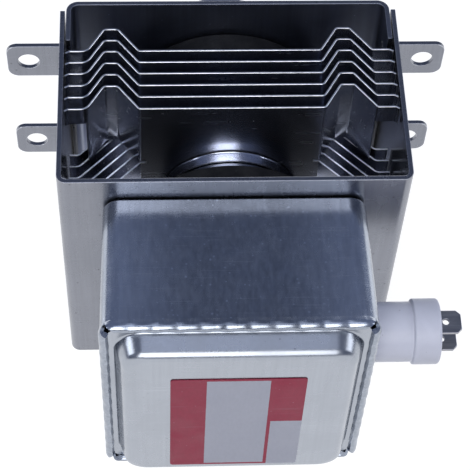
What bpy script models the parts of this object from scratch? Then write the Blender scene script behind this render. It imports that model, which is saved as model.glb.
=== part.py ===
"""Microwave oven magnetron, modelled piece by piece in metres with +Z up.

The steel yoke stands on its lower rim, with its air duct running up through it. The tube's axis runs
along Y: the filter box and its cover are on the -Y side, the antenna is on the +Y side, and the
feedthrough capacitor leaves the filter box along +X. Pieces that touch keep a small gap.

Every piece is built in the yoke's own frame, where Y = 0 is the outer face of the input plate, X = 0 is
the middle of the yoke and Z = 0 is its lower rim. An empty then carries them all to the part's origin.
"""
import math

import bmesh
import bpy
from mathutils import Matrix, Vector

# Clearances
GAP = 0.0003
RUNNING_GAP = 0.0004

# Yoke: a U bracket of folded sheet, closed by an output plate with two flanges
YOKE_WIDTH = 0.0840
YOKE_HEIGHT = 0.0800
WALL_LENGTH = 0.0522
YOKE_SHEET = 0.0012
BRACKET_BEND = 0.0024
PLATE_BEND = 0.0030
PLATE_STAND_OFF = 0.0030
FLANGE_DEPTH = 0.0125

# Mounting tabs, bent outwards at the ends of the side walls
TAB_REACH = 0.0145
TAB_WIDTH = 0.0118
TAB_CORNER = 0.0028
TAB_FILLET = 0.0010
TAB_HOLE_RADIUS = 0.00275
TAB_HOLE_INSET = 0.0055
TAB_SPACING = 0.0340

# Flush rivets between the side walls and the flanges
RIVET_RADIUS = 0.0018
RIVET_INSET = 0.0100

# Tube axis, above the middle of the yoke
AXIS_RISE = 0.0045

# Ring magnets
MAGNET_RADIUS = 0.0250
MAGNET_HOLE_RADIUS = 0.0106
MAGNET_THICKNESS = 0.0110
MAGNET_CHAMFER = 0.0008

# Anode block: a copper cylinder with radial vanes
ANODE_RADIUS = 0.0164
ANODE_WALL = 0.0020
VANE_COUNT = 10
VANE_THICKNESS = 0.0018
VANE_TIP_RADIUS = 0.0043
VANE_LENGTH = 0.0096
STRAP_INNER_RADIUS = 0.0064
STRAP_WIDTH = 0.0012
STRAP_THICKNESS = 0.0008

# Pole pieces
POLE_RIM_THICKNESS = 0.0016
POLE_DEPTH = 0.0074
POLE_HOLE_RADIUS = 0.0048
POLE_TIP_RADIUS = 0.0068
POLE_SHOULDER_RADIUS = 0.0124
ANTENNA_PORT_RADIUS = 0.0014

# Seal cups, from the ends of the anode out through the magnets
CUP_SHEET = 0.0006
CUP_BRIM_THICKNESS = 0.0008
CUP_RADIUS = 0.0096
INPUT_CUP_REACH = 0.0040
OUTPUT_CUP_REACH = 0.0060
OUTPUT_CUP_MOUTH_RADIUS = 0.0052

# Cooling fins, pressed on the anode
FIN_COUNT = 6
FIN_PITCH = 0.00355
FIN_SHEET = 0.0005
FIN_FIRST = 0.02195
FIN_RIM_INSET = 0.0005
FIN_FLAT_HALF = 0.0225
FIN_RIDGE_WIDTH = 0.0034
FIN_RIDGE_HEIGHT = 0.0069
FIN_FOOT_LENGTH = 0.0053
FIN_BEND = 0.0007
FIN_LIP_DROP = 0.0006
FIN_LIP_LENGTH = 0.0010
FIN_SPLIT = 0.0130
FIN_SLIT = 0.0006
FIN_VANE_ANGLE = 45.0
FIN_VANE_END_GAP = 0.0016
COLLAR_LENGTH = 0.0030

# Cathode
FILAMENT_RADIUS = 0.0019
FILAMENT_WIRE = 0.0003
FILAMENT_TURNS = 6
HAT_RADIUS = 0.0036
HAT_THICKNESS = 0.0010
LEAD_RADIUS = 0.0005
SIDE_LEAD_OFFSET = 0.0030

# Stem ceramic, in the mouth of the input cup
STEM_RADIUS = 0.0092
STEM_LENGTH = 0.0088
STEM_SPIGOT = 0.0028
LEAD_PROTRUSION = 0.0032

# Output stack: ceramic, cap and gasket
CERAMIC_RADIUS = 0.0074
CERAMIC_BORE_RADIUS = 0.0056
CERAMIC_LENGTH = 0.0096
CAP_RADIUS = 0.0076
CAP_LENGTH = 0.0120
CAP_WALL = 0.0006
CAP_ROUND = 0.0016
ANTENNA_RADIUS = 0.0007
ANTENNA_FOOT_RADIUS = 0.0098
GASKET_OUTER_RADIUS = 0.0166
GASKET_THICKNESS = 0.0050
GASKET_ROUND = 0.0016

# Filter box: a drawn steel tray with a crimped lip
BOX_DEPTH = 0.0363
BOX_WIDTH = 0.0628
BOX_HEIGHT = 0.0676
BOX_DRAFT = 0.0005
BOX_SHEET = 0.0008
BOX_CORNER = 0.0045
BOX_EDGE = 0.0020
LIP_DEPTH = 0.0030
LIP_FLARE = 0.0003
CRIMP_PITCH = 0.0055
CRIMP_RADIUS = 0.0016
CRIMP_DEPTH = 0.0003
CRIMP_LENGTH = 0.0026
NOTCH_WIDTH = 0.0030
NOTCH_DEPTH = 0.0028
BOX_RIVET_SIDE_INSET = 0.0089
BOX_RIVET_END_INSET = 0.0128
BOX_RIVET_RADIUS = 0.0011
BOX_RIVET_HEAD_RADIUS = 0.0020
BOX_RIVET_HEAD = 0.0008

# Cover: a pressed lid with a raised panel, and the label on it
COVER_SHEET = 0.0008
COVER_RECESS = 0.0012
COVER_CHANNEL = 0.0024
PANEL_RISE = 0.0055
PANEL_SLOPE = 0.0019
PANEL_CORNER = 0.0056
PANEL_EDGE = 0.0022
LABEL_WIDTH = 0.0318
LABEL_HEIGHT = 0.0452
LABEL_DROP = 0.0036
LABEL_THICKNESS = 0.0002

# Feedthrough capacitor, in the +X wall of the filter box
CAPACITOR_Y = -0.0208
CAPACITOR_RADIUS = 0.0074
CAPACITOR_REACH = 0.0115
CAPACITOR_HEAD_RADIUS = 0.0081
CAPACITOR_HEAD_LENGTH = 0.0068
CAPACITOR_INNER_LENGTH = 0.0060
CAPACITOR_ROUND = 0.0004
CAPACITOR_PLATE = 0.0210
CAPACITOR_PLATE_SHEET = 0.0008
BLADE_WIDTH = 0.0063
BLADE_THICKNESS = 0.0008
BLADE_SPACING = 0.0084
BLADE_REACH = 0.0053
BLADE_CHAMFER = 0.0011
BLADE_HOLE_RADIUS = 0.0008
BLADE_HOLE_INSET = 0.0038
BLADE_INNER_REACH = 0.0030

# Choke coils on ferrite rods, between the stem and the capacitor
CHOKE_Y = -0.0242
CHOKE_RISE = 0.0135
CHOKE_RADIUS = 0.0037
CHOKE_WIRE = 0.0007
CHOKE_TURNS = 6.5
CHOKE_LENGTH = 0.0180
CHOKE_START = -0.0110
ROD_RADIUS = 0.0025
ROD_LENGTH = 0.0230

# Facets round a full turn
FINE = 32
MEDIUM = 24
COARSE = 16
SMALL = 10

# Places that follow from the sizes above
MIDDLE_Z = YOKE_HEIGHT / 2
AXIS_Z = MIDDLE_Z + AXIS_RISE
WALL_INNER = YOKE_WIDTH / 2 - YOKE_SHEET
PLATE_OUTER_Y = WALL_LENGTH + PLATE_STAND_OFF
PLATE_INNER_Y = PLATE_OUTER_Y - YOKE_SHEET
INPUT_MAGNET_Y = YOKE_SHEET + GAP
OUTPUT_MAGNET_Y = PLATE_INNER_Y - GAP - MAGNET_THICKNESS
INPUT_BRIM_Y = INPUT_MAGNET_Y + MAGNET_THICKNESS + GAP
OUTPUT_BRIM_Y = OUTPUT_MAGNET_Y - GAP - CUP_BRIM_THICKNESS
ANODE_START = INPUT_BRIM_Y + CUP_BRIM_THICKNESS + GAP
ANODE_END = OUTPUT_BRIM_Y - GAP
ANODE_LENGTH = ANODE_END - ANODE_START
ANODE_BORE = ANODE_RADIUS - ANODE_WALL
ANODE_MIDDLE = (ANODE_START + ANODE_END) / 2
VANE_START = ANODE_MIDDLE - VANE_LENGTH / 2
VANE_END = ANODE_MIDDLE + VANE_LENGTH / 2
INPUT_CUP_END = -INPUT_CUP_REACH
OUTPUT_CUP_END = PLATE_OUTER_Y + OUTPUT_CUP_REACH
STEM_END = INPUT_CUP_END - GAP - STEM_LENGTH
LEAD_END = STEM_END - LEAD_PROTRUSION
CERAMIC_START = OUTPUT_CUP_END + GAP
CAP_START = CERAMIC_START + CERAMIC_LENGTH + GAP
CAP_END = CAP_START + CAP_LENGTH
BOX_REAR_Y = -GAP
BOX_FRONT_Y = -BOX_DEPTH
LIP_START_Y = BOX_FRONT_Y + LIP_DEPTH
LIP_HALF_X = BOX_WIDTH / 2 + BOX_DRAFT + LIP_FLARE
LIP_HALF_Z = BOX_HEIGHT / 2 + BOX_DRAFT + LIP_FLARE
COVER_HALF_X = LIP_HALF_X - BOX_SHEET - GAP
COVER_HALF_Z = LIP_HALF_Z - BOX_SHEET - GAP
COVER_Y = BOX_FRONT_Y + COVER_RECESS
PANEL_Y = COVER_Y - PANEL_RISE
LABEL_FRONT_Y = PANEL_Y - GAP - LABEL_THICKNESS
TAB_CENTRES = (AXIS_Z - TAB_SPACING / 2, AXIS_Z + TAB_SPACING / 2)


def material(name, colour, roughness, metallic):
    """Return a Principled material."""
    made = bpy.data.materials.new(name)
    made.use_nodes = True
    shader = made.node_tree.nodes["Principled BSDF"]
    shader.inputs["Base Color"].default_value = (*colour, 1.0)
    shader.inputs["Roughness"].default_value = roughness
    shader.inputs["Metallic"].default_value = metallic
    return made


def place(name, bm, finish, location=(0, 0, 0)):
    """Turn a bmesh into an object of the part, shaded smooth with sharp edges."""
    bmesh.ops.recalc_face_normals(bm, faces=bm.faces)
    mesh = bpy.data.meshes.new(name)
    bm.to_mesh(mesh)
    bm.free()
    mesh.shade_smooth()
    mesh.set_sharp_from_angle(angle=math.radians(32))
    return place_mesh(name, mesh, finish, location)


def place_mesh(name, mesh, finish, location=(0, 0, 0)):
    """Put a mesh in the scene under the part's own empty."""
    if finish:
        mesh.materials.append(finish)
    item = bpy.data.objects.new(name, mesh)
    bpy.context.scene.collection.objects.link(item)
    item.parent = frame
    item.location = location
    return item


def boolean(target, bm, operation="DIFFERENCE", location=(0, 0, 0)):
    """Cut or join a closed bmesh on an object."""
    tool = place(target.name + "_tool", bm, None, location)
    tool.hide_render = True
    tool.display_type = "WIRE"
    step = target.modifiers.new(operation.title(), "BOOLEAN")
    step.operation = operation
    step.solver = "EXACT"
    step.object = tool
    return tool


def turned(profile, steps):
    """Spin a profile of (y, radius) points about the Y axis into a closed solid."""
    bm = bmesh.new()
    points = [bm.verts.new((radius, y, 0)) for y, radius in profile]
    edges = [bm.edges.new(pair) for pair in zip(points, points[1:])]
    if profile[0][1] > 0 or profile[-1][1] > 0:
        edges.append(bm.edges.new((points[-1], points[0])))
    bmesh.ops.spin(bm, geom=points + edges, cent=(0, 0, 0), axis=(0, 1, 0), angle=2 * math.pi,
                   steps=steps, use_merge=True)
    bmesh.ops.remove_doubles(bm, verts=bm.verts, dist=1e-7)
    return bm


def rod(radius, start, end, steps=COARSE):
    """A plain round bar along Y."""
    return turned([(start, 0), (start, radius), (end, radius), (end, 0)], steps)


def prism(outline, vector):
    """Extrude a planar outline of 3-D points along a vector."""
    bm = bmesh.new()
    face = bm.faces.new([bm.verts.new(point) for point in outline])
    moved = bmesh.ops.extrude_face_region(bm, geom=[face])
    bmesh.ops.translate(bm, vec=vector, verts=[v for v in moved["geom"] if isinstance(v, bmesh.types.BMVert)])
    return bm


def block(low, high):
    """A box between two corners."""
    (x0, y0, z0), (x1, y1, z1) = low, high
    return prism([(x0, y0, z0), (x1, y0, z0), (x1, y1, z0), (x0, y1, z0)], (0, 0, z1 - z0))


def arc(centre, radius, start, end, steps):
    """Points on an arc in a plane, angles in degrees, both ends included."""
    angles = [math.radians(start + (end - start) * i / steps) for i in range(steps + 1)]
    return [(centre[0] + radius * math.cos(a), centre[1] + radius * math.sin(a)) for a in angles]


def filleted(points, radius, steps=2):
    """Round the inner corners of an open path of 2-D points."""
    path = [Vector(points[0])]
    for before, corner, after in zip(points, points[1:], points[2:]):
        corner = Vector(corner)
        back = (Vector(before) - corner).normalized()
        ahead = (Vector(after) - corner).normalized()
        half = back.angle(ahead) / 2
        reach = radius / math.tan(half)
        first, last = corner + back * reach, corner + ahead * reach
        for i in range(steps + 1):
            t = i / steps
            path.append(first * (1 - t) ** 2 + corner * 2 * t * (1 - t) + last * t ** 2)
    path.append(Vector(points[-1]))
    return path


def rounded_ring(half_x, half_z, radius, y, steps=3):
    """A rounded rectangle in the X-Z plane, as a ring of 3-D points."""
    radius = max(radius, 0.0001)
    ring = []
    for sign_x, sign_z, start in ((1, 1, 0), (-1, 1, 90), (-1, -1, 180), (1, -1, 270)):
        centre = (sign_x * (half_x - radius), sign_z * (half_z - radius))
        ring += [(x, y, z) for x, z in arc(centre, radius, start, start + 90, steps)]
    return ring


def lofted(rings):
    """Join rings of equally many points in turn and close both ends."""
    bm = bmesh.new()
    rows = [[bm.verts.new(point) for point in ring] for ring in rings]
    for row, following in zip(rows, rows[1:]):
        for i in range(len(row)):
            j = (i + 1) % len(row)
            bm.faces.new((row[i], row[j], following[j], following[i]))
    bm.faces.new(rows[0])
    bm.faces.new(rows[-1])
    return bm


def along_x(bm):
    """Turn a solid built about the Y axis so that its +Y points along +X."""
    bmesh.ops.rotate(bm, verts=bm.verts, cent=(0, 0, 0), matrix=Matrix.Rotation(-math.pi / 2, 3, "Z"))
    return bm


def merged(*parts):
    """Put several bmeshes in one."""
    bm = parts[0]
    for other in parts[1:]:
        mesh = bpy.data.meshes.new("merge")
        other.to_mesh(mesh)
        other.free()
        bm.from_mesh(mesh)
        bpy.data.meshes.remove(mesh)
    return bm


def shifted(bm, vector):
    """Move a bmesh."""
    bmesh.ops.translate(bm, vec=vector, verts=bm.verts)
    return bm


def wire(name, points, radius, finish, resolution=2):
    """A round wire along a path, as a curve with filled ends."""
    curve = bpy.data.curves.new(name, "CURVE")
    curve.dimensions = "3D"
    curve.bevel_depth = radius
    curve.bevel_resolution = resolution
    curve.use_fill_caps = True
    line = curve.splines.new("POLY")
    line.points.add(len(points) - 1)
    for point, place_at in zip(line.points, points):
        point.co = (*place_at, 1)
    return place_mesh(name, curve, finish)


def helix(centre, radius, start, length, turns, phase, along, steps=10):
    """Points of a helix about an axis along X or Y through a centre."""
    points = []
    for i in range(round(turns * steps) + 1):
        t = i / (turns * steps)
        angle = phase + 2 * math.pi * turns * t
        across, up = radius * math.cos(angle), radius * math.sin(angle)
        if along == "X":
            points.append(Vector((start + length * t, centre[1] + across, centre[2] + up)))
        else:
            points.append(Vector((centre[0] + across, start + length * t, centre[2] + up)))
    return points


def smooth_path(knots, steps=4):
    """A Catmull-Rom curve through the knots."""
    padded = [knots[0] * 2 - knots[1]] + knots + [knots[-1] * 2 - knots[-2]]
    points = []
    for a, b, c, d in zip(padded, padded[1:], padded[2:], padded[3:]):
        for i in range(steps):
            t = i / steps
            points.append(0.5 * (2 * b + (c - a) * t + (2 * a - 5 * b + 4 * c - d) * t ** 2
                                 + (3 * b - a - 3 * c + d) * t ** 3))
    points.append(knots[-1])
    return points


def folded_u(half, start, end, sheet, bend, steps=3):
    """Outline of a folded U in the X-Y plane: web at y = start, arms to y = end on both sides."""
    inner_bend = max(bend - sheet, 0.0002)
    sign = 1 if end > start else -1
    web = start + sign * sheet
    outer = arc((half - bend, start + sign * bend), bend, -90 * sign, 0, steps)
    inner = arc((half - sheet - inner_bend, web + sign * inner_bend), inner_bend, 0, -90 * sign, steps)
    right = outer + [(half, end), (half - sheet, end)] + inner
    left = [(-x, y) for x, y in reversed(right)]
    return right + left


# Yoke

def yoke_bracket():
    """Input plate and side walls folded from one sheet, with four mounting tabs."""
    outline = folded_u(YOKE_WIDTH / 2, 0, WALL_LENGTH, YOKE_SHEET, BRACKET_BEND)
    bracket = place("yoke_bracket", prism([(x, y, 0) for x, y in outline], (0, 0, YOKE_HEIGHT)), steel)
    for side in (-1, 1):
        for centre in TAB_CENTRES:
            boolean(bracket, mounting_tab(side, centre), "UNION")
    hole_x = YOKE_WIDTH / 2 + TAB_REACH - TAB_HOLE_INSET
    holes = [shifted(rod(TAB_HOLE_RADIUS, WALL_LENGTH - 3 * YOKE_SHEET, WALL_LENGTH + YOKE_SHEET),
                     (side * hole_x, 0, centre)) for side in (-1, 1) for centre in TAB_CENTRES]
    boolean(bracket, merged(*holes))
    boolean(bracket, rod(CUP_RADIUS + 2 * RUNNING_GAP, -YOKE_SHEET, 2 * YOKE_SHEET, FINE),
            location=(0, 0, AXIS_Z))
    boolean(bracket, merged(*[rivet_hole(side, z) for side in (-1, 1) for z in rivet_heights()]))
    boolean(bracket, merged(*[shifted(rod(BOX_RIVET_RADIUS + GAP, -YOKE_SHEET, 2 * YOKE_SHEET), (x, 0, z))
                              for x, z in box_rivet_places()]))


def mounting_tab(side, centre):
    """One tab, with the fillet of its fold and rounded outer corners."""
    wall = YOKE_WIDTH / 2
    front = WALL_LENGTH - YOKE_SHEET
    root = wall - YOKE_SHEET / 2
    fold = arc((wall + TAB_FILLET, front - TAB_FILLET), TAB_FILLET, 90, 180, 2)
    outline = [(root, WALL_LENGTH), (wall + TAB_REACH, WALL_LENGTH), (wall + TAB_REACH, front)] + fold
    outline.append((root, front - TAB_FILLET))
    low = centre - TAB_WIDTH / 2
    bm = prism([(side * x, y, low) for x, y in outline], (0, 0, TAB_WIDTH))
    outer = wall + TAB_REACH
    corners = [e for e in bm.edges if all(abs(abs(v.co.x) - outer) < 1e-6 for v in e.verts)
               and abs(e.verts[0].co.z - e.verts[1].co.z) < 1e-6]
    bmesh.ops.bevel(bm, geom=corners, offset=TAB_CORNER, segments=3, profile=0.5, affect="EDGES")
    return bm


def output_plate():
    """Plate on the antenna side, with flanges folded in between the side walls."""
    half = WALL_INNER - GAP
    outline = folded_u(half, PLATE_OUTER_Y, PLATE_OUTER_Y - FLANGE_DEPTH, YOKE_SHEET, PLATE_BEND)
    plate = place("yoke_output_plate", prism([(x, y, 0) for x, y in outline], (0, 0, YOKE_HEIGHT)), steel)
    boolean(plate, rod(CUP_RADIUS + 2 * RUNNING_GAP, PLATE_INNER_Y - YOKE_SHEET, PLATE_OUTER_Y + YOKE_SHEET, FINE),
            location=(0, 0, AXIS_Z))
    boolean(plate, merged(*[rivet_hole(side, z) for side in (-1, 1) for z in rivet_heights()]))


def rivet_heights():
    """Heights of the rivets on each side wall."""
    return RIVET_INSET, YOKE_HEIGHT - RIVET_INSET


def rivet_y():
    """The rivets' place along the side walls, in the middle of the flat overlap."""
    return (PLATE_OUTER_Y - FLANGE_DEPTH + WALL_LENGTH) / 2


def rivet_hole(side, z):
    """Cutter for one rivet hole through a wall and its flange."""
    reach = 2 * YOKE_SHEET + GAP
    inner = WALL_INNER - 2 * YOKE_SHEET - GAP
    bm = along_x(rod(RIVET_RADIUS + GAP, inner, inner + 2 * reach))
    bmesh.ops.scale(bm, vec=(side, 1, 1), verts=bm.verts)
    bmesh.ops.recalc_face_normals(bm, faces=bm.faces)
    return shifted(bm, (0, rivet_y(), z))


def yoke_rivets():
    """Flush rivets that hold the flanges to the side walls."""
    inner = WALL_INNER - GAP - YOKE_SHEET
    for side, side_name in ((-1, "left"), (1, "right")):
        for z, level in zip(rivet_heights(), ("lower", "upper")):
            bm = along_x(rod(RIVET_RADIUS, inner, YOKE_WIDTH / 2))
            bmesh.ops.scale(bm, vec=(side, 1, 1), verts=bm.verts)
            place(f"yoke_rivet_{level}_{side_name}", bm, bright_steel, (0, rivet_y(), z))


# Magnets and anode

def magnet(name, start):
    """A chamfered ferrite ring."""
    c = MAGNET_CHAMFER
    end = MAGNET_THICKNESS
    profile = [(0, MAGNET_HOLE_RADIUS + c), (0, MAGNET_RADIUS - c), (c, MAGNET_RADIUS),
               (end - c, MAGNET_RADIUS), (end, MAGNET_RADIUS - c), (end, MAGNET_HOLE_RADIUS + c),
               (end - c, MAGNET_HOLE_RADIUS), (c, MAGNET_HOLE_RADIUS)]
    place(name, turned(profile, FINE), ferrite, (0, start, AXIS_Z))


def anode_block():
    """Copper cylinder with radial vanes, grooved for the strap rings."""
    shell = turned([(ANODE_START, ANODE_BORE), (ANODE_START, ANODE_RADIUS),
                    (ANODE_END, ANODE_RADIUS), (ANODE_END, ANODE_BORE)], FINE)
    anode = place("anode_block", shell, copper, (0, 0, AXIS_Z))
    root = ANODE_BORE + ANODE_WALL / 2
    vanes = []
    for i in range(VANE_COUNT):
        vane = block((VANE_TIP_RADIUS, VANE_START, -VANE_THICKNESS / 2), (root, VANE_END, VANE_THICKNESS / 2))
        turn = Matrix.Rotation(2 * math.pi * i / VANE_COUNT - math.pi / 2, 3, "Y")
        bmesh.ops.rotate(vane, verts=vane.verts, cent=(0, 0, 0), matrix=turn)
        vanes.append(vane)
    boolean(anode, merged(*vanes), "UNION", (0, 0, AXIS_Z))
    inner = STRAP_INNER_RADIUS - GAP
    outer = STRAP_INNER_RADIUS + STRAP_WIDTH + GAP
    depth = STRAP_THICKNESS + GAP
    for start, end in ((VANE_START - GAP, VANE_START + depth), (VANE_END - depth, VANE_END + GAP)):
        groove = turned([(start, inner), (start, outer), (end, outer), (end, inner)], MEDIUM)
        boolean(anode, groove, location=(0, 0, AXIS_Z))


def strap_ring(name, start):
    """A flat ring in the groove of the vanes."""
    outer = STRAP_INNER_RADIUS + STRAP_WIDTH
    profile = [(0, STRAP_INNER_RADIUS), (0, outer), (STRAP_THICKNESS, outer),
               (STRAP_THICKNESS, STRAP_INNER_RADIUS)]
    place(name, turned(profile, MEDIUM), copper, (0, start, AXIS_Z))


def pole_piece(name, end, direction):
    """A funnel of soft iron whose rim sits in the end of the anode."""
    rim = ANODE_BORE - GAP
    slope = POLE_DEPTH - POLE_RIM_THICKNESS
    profile = [(0, rim), (0, POLE_SHOULDER_RADIUS - POLE_RIM_THICKNESS),
               (slope, POLE_TIP_RADIUS - POLE_RIM_THICKNESS / 2), (slope, POLE_HOLE_RADIUS),
               (POLE_DEPTH, POLE_HOLE_RADIUS), (POLE_DEPTH, POLE_TIP_RADIUS),
               (POLE_RIM_THICKNESS, POLE_SHOULDER_RADIUS), (POLE_RIM_THICKNESS, rim)]
    profile = [(direction * y, radius) for y, radius in profile]
    return place(name, turned(profile, MEDIUM), iron, (0, end, AXIS_Z))


def seal_cups():
    """Thin steel cups that seal the anode's ends and carry the two ceramics."""
    r, sheet = CUP_RADIUS, CUP_SHEET
    brim = CUP_BRIM_THICKNESS
    start = INPUT_BRIM_Y
    profile = [(start, r), (INPUT_CUP_END, r), (INPUT_CUP_END, r - sheet), (start + brim, r - sheet),
               (start + brim, ANODE_RADIUS), (start, ANODE_RADIUS)]
    place("input_seal_cup", turned(profile, MEDIUM), bright_steel, (0, 0, AXIS_Z))
    start = OUTPUT_BRIM_Y
    profile = [(start + brim, r), (OUTPUT_CUP_END, r), (OUTPUT_CUP_END, OUTPUT_CUP_MOUTH_RADIUS),
               (OUTPUT_CUP_END - sheet, OUTPUT_CUP_MOUTH_RADIUS), (OUTPUT_CUP_END - sheet, r - sheet),
               (start, r - sheet), (start, ANODE_RADIUS), (start + brim, ANODE_RADIUS)]
    place("output_seal_cup", turned(profile, MEDIUM), bright_steel, (0, 0, AXIS_Z))


# Cooling fins

def wing_path(kind):
    """Path of one wing strip in the X-Y plane, from the fin's flat middle to the side wall."""
    wall = WALL_INNER - GAP
    if kind == "hump":
        foot = wall - FIN_FOOT_LENGTH
        ridge = (FIN_FLAT_HALF + foot) / 2
        path = [(FIN_FLAT_HALF - 2 * FIN_BEND, 0), (FIN_FLAT_HALF, 0),
                (ridge - FIN_RIDGE_WIDTH / 2, FIN_RIDGE_HEIGHT), (ridge + FIN_RIDGE_WIDTH / 2, FIN_RIDGE_HEIGHT),
                (foot, 0), (wall - FIN_LIP_LENGTH, 0), (wall, -FIN_LIP_DROP)]
    else:
        end = wall - FIN_VANE_END_GAP
        drop = (end - FIN_FLAT_HALF) * math.tan(math.radians(FIN_VANE_ANGLE))
        path = [(FIN_FLAT_HALF - 2 * FIN_BEND, 0), (FIN_FLAT_HALF, 0), (end, -drop)]
    return filleted(path, FIN_BEND, 1)


def cooling_fin(name, y):
    """One aluminium fin: a collar on the anode, a flat middle, and lanced wings bent both ways."""
    bm = bmesh.new()
    low, high = FIN_RIM_INSET, YOKE_HEIGHT - FIN_RIM_INSET
    half_slit = FIN_SLIT / 2
    split_low, split_high = AXIS_Z - FIN_SPLIT, AXIS_Z + FIN_SPLIT
    strips = (("hump", low, split_low - half_slit), ("vane", split_low + half_slit, split_high - half_slit),
              ("hump", split_high + half_slit, high))
    edge_x = FIN_FLAT_HALF - 2 * FIN_BEND
    roots = {side: [] for side in (-1, 1)}
    for side in (-1, 1):
        for kind, z0, z1 in strips:
            path = wing_path(kind)[1:]
            rows = [[bm.verts.new((side * edge_x, y, z)) for z in (z0, z1)]]
            rows += [[bm.verts.new((side * point.x, y + point.y, z)) for z in (z0, z1)] for point in path]
            for row, following in zip(rows, rows[1:]):
                bm.faces.new((row[0], row[1], following[1], following[0]))
            roots[side] += rows[0]
    collar = ANODE_RADIUS + GAP + FIN_SHEET / 2
    angles = [2 * math.pi * i / FINE for i in range(FINE)]
    hole = [bm.verts.new((collar * math.cos(a), y, AXIS_Z + collar * math.sin(a))) for a in angles]
    mouth = [bm.verts.new((v.co.x, y - COLLAR_LENGTH, v.co.z)) for v in hole]
    border = roots[1] + list(reversed(roots[-1]))
    loops = [bm.edges.get(pair) or bm.edges.new(pair) for pair in zip(border, border[1:] + border[:1])]
    loops += [bm.edges.new(pair) for pair in zip(hole, hole[1:] + hole[:1])]
    bmesh.ops.triangle_fill(bm, use_beauty=True, edges=loops)
    for i, corner in enumerate(hole):
        j = (i + 1) % FINE
        bm.faces.new((corner, hole[j], mouth[j], mouth[i]))
    fin = place(name, bm, aluminium)
    sheet = fin.modifiers.new("Sheet", "SOLIDIFY")
    sheet.thickness = FIN_SHEET
    sheet.offset = 0
    sheet.use_even_offset = True


# Cathode and stem

def cathode():
    """Helical filament between two end hats, on its centre and side leads."""
    hat_gap = GAP + FILAMENT_WIRE
    first = VANE_START + hat_gap
    length = VANE_LENGTH - 2 * hat_gap
    coil = helix((0, 0, AXIS_Z), FILAMENT_RADIUS, first, length, FILAMENT_TURNS, 0, "Y")
    wire("cathode_filament", coil, FILAMENT_WIRE, tungsten, 0)
    bore = LEAD_RADIUS + GAP
    hat = [(0, bore), (0, HAT_RADIUS), (HAT_THICKNESS, HAT_RADIUS), (HAT_THICKNESS, bore)]
    place("end_hat_input", turned(hat, COARSE), molybdenum, (0, VANE_START - HAT_THICKNESS, AXIS_Z))
    place("end_hat_output", turned(hat, COARSE), molybdenum, (0, VANE_END, AXIS_Z))
    place("centre_lead", rod(LEAD_RADIUS, LEAD_END, VANE_END + HAT_THICKNESS, SMALL), molybdenum, (0, 0, AXIS_Z))
    side_end = VANE_START - HAT_THICKNESS - GAP
    place("side_lead", rod(LEAD_RADIUS, LEAD_END, side_end, SMALL), molybdenum,
          (0, 0, AXIS_Z - SIDE_LEAD_OFFSET))


def stem_ceramic():
    """Ceramic plug in the mouth of the input cup, with a hole for each lead."""
    spigot = CUP_RADIUS - CUP_SHEET - GAP
    seat = INPUT_CUP_END - GAP
    profile = [(STEM_END, 0), (STEM_END, STEM_RADIUS - GAP), (STEM_END + GAP, STEM_RADIUS),
               (seat, STEM_RADIUS), (seat, spigot), (seat + STEM_SPIGOT, spigot), (seat + STEM_SPIGOT, 0)]
    stem = place("stem_ceramic", turned(profile, MEDIUM), ceramic, (0, 0, AXIS_Z))
    start, end = STEM_END - STEM_LENGTH / 2, seat + 2 * STEM_SPIGOT
    holes = [shifted(rod(LEAD_RADIUS + GAP, start, end, SMALL), (0, 0, AXIS_Z - drop))
             for drop in (0, SIDE_LEAD_OFFSET)]
    boolean(stem, merged(*holes))


# Output stack

def output_stack():
    """Antenna lead, output ceramic, cap and the woven gasket round the output."""
    place("output_ceramic", turned([(0, CERAMIC_BORE_RADIUS), (0, CERAMIC_RADIUS),
                                    (CERAMIC_LENGTH, CERAMIC_RADIUS), (CERAMIC_LENGTH, CERAMIC_BORE_RADIUS)],
                                   MEDIUM), pink_ceramic, (0, CERAMIC_START, AXIS_Z))
    r, wall = CAP_RADIUS, CAP_WALL
    crown = arc((CAP_LENGTH - CAP_ROUND, r - CAP_ROUND), CAP_ROUND, 90, 0, 3)
    inner_round = CAP_ROUND - wall
    lining = arc((CAP_LENGTH - CAP_ROUND, r - CAP_ROUND), inner_round, 0, 90, 2)
    profile = [(0, r)] + crown + [(CAP_LENGTH, 0), (CAP_LENGTH - wall, 0)] + lining + [(0, r - wall)]
    bm = turned_cup(profile)
    place("antenna_cap", bm, bright_steel, (0, CAP_START, AXIS_Z))
    bore = CUP_RADIUS + GAP
    centre_low = (GASKET_ROUND, GASKET_OUTER_RADIUS - GASKET_ROUND)
    centre_high = (GASKET_THICKNESS - GASKET_ROUND, GASKET_OUTER_RADIUS - GASKET_ROUND)
    profile = [(0, bore)] + arc(centre_low, GASKET_ROUND, 180, 90, 3) + arc(centre_high, GASKET_ROUND, 90, 0, 3)
    profile.append((GASKET_THICKNESS, bore))
    place("rf_gasket", turned(profile, MEDIUM), mesh_metal, (0, PLATE_OUTER_Y + GAP, AXIS_Z))
    foot = Vector((0, VANE_END + GAP + ANTENNA_RADIUS, ANTENNA_FOOT_RADIUS))
    port_y = ANODE_END - POLE_DEPTH / 2
    knots = [foot, Vector((0, port_y, ANTENNA_FOOT_RADIUS)), Vector((0, OUTPUT_MAGNET_Y, 0.6 * ANTENNA_FOOT_RADIUS)),
             Vector((0, OUTPUT_MAGNET_Y + MAGNET_THICKNESS, 0)), Vector((0, CERAMIC_START, 0)),
             Vector((0, CAP_END - CAP_WALL - GAP, 0))]
    lift = Vector((0, 0, AXIS_Z))
    wire("antenna_lead", [point + lift for point in smooth_path(knots)], ANTENNA_RADIUS, copper, 1)


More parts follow.
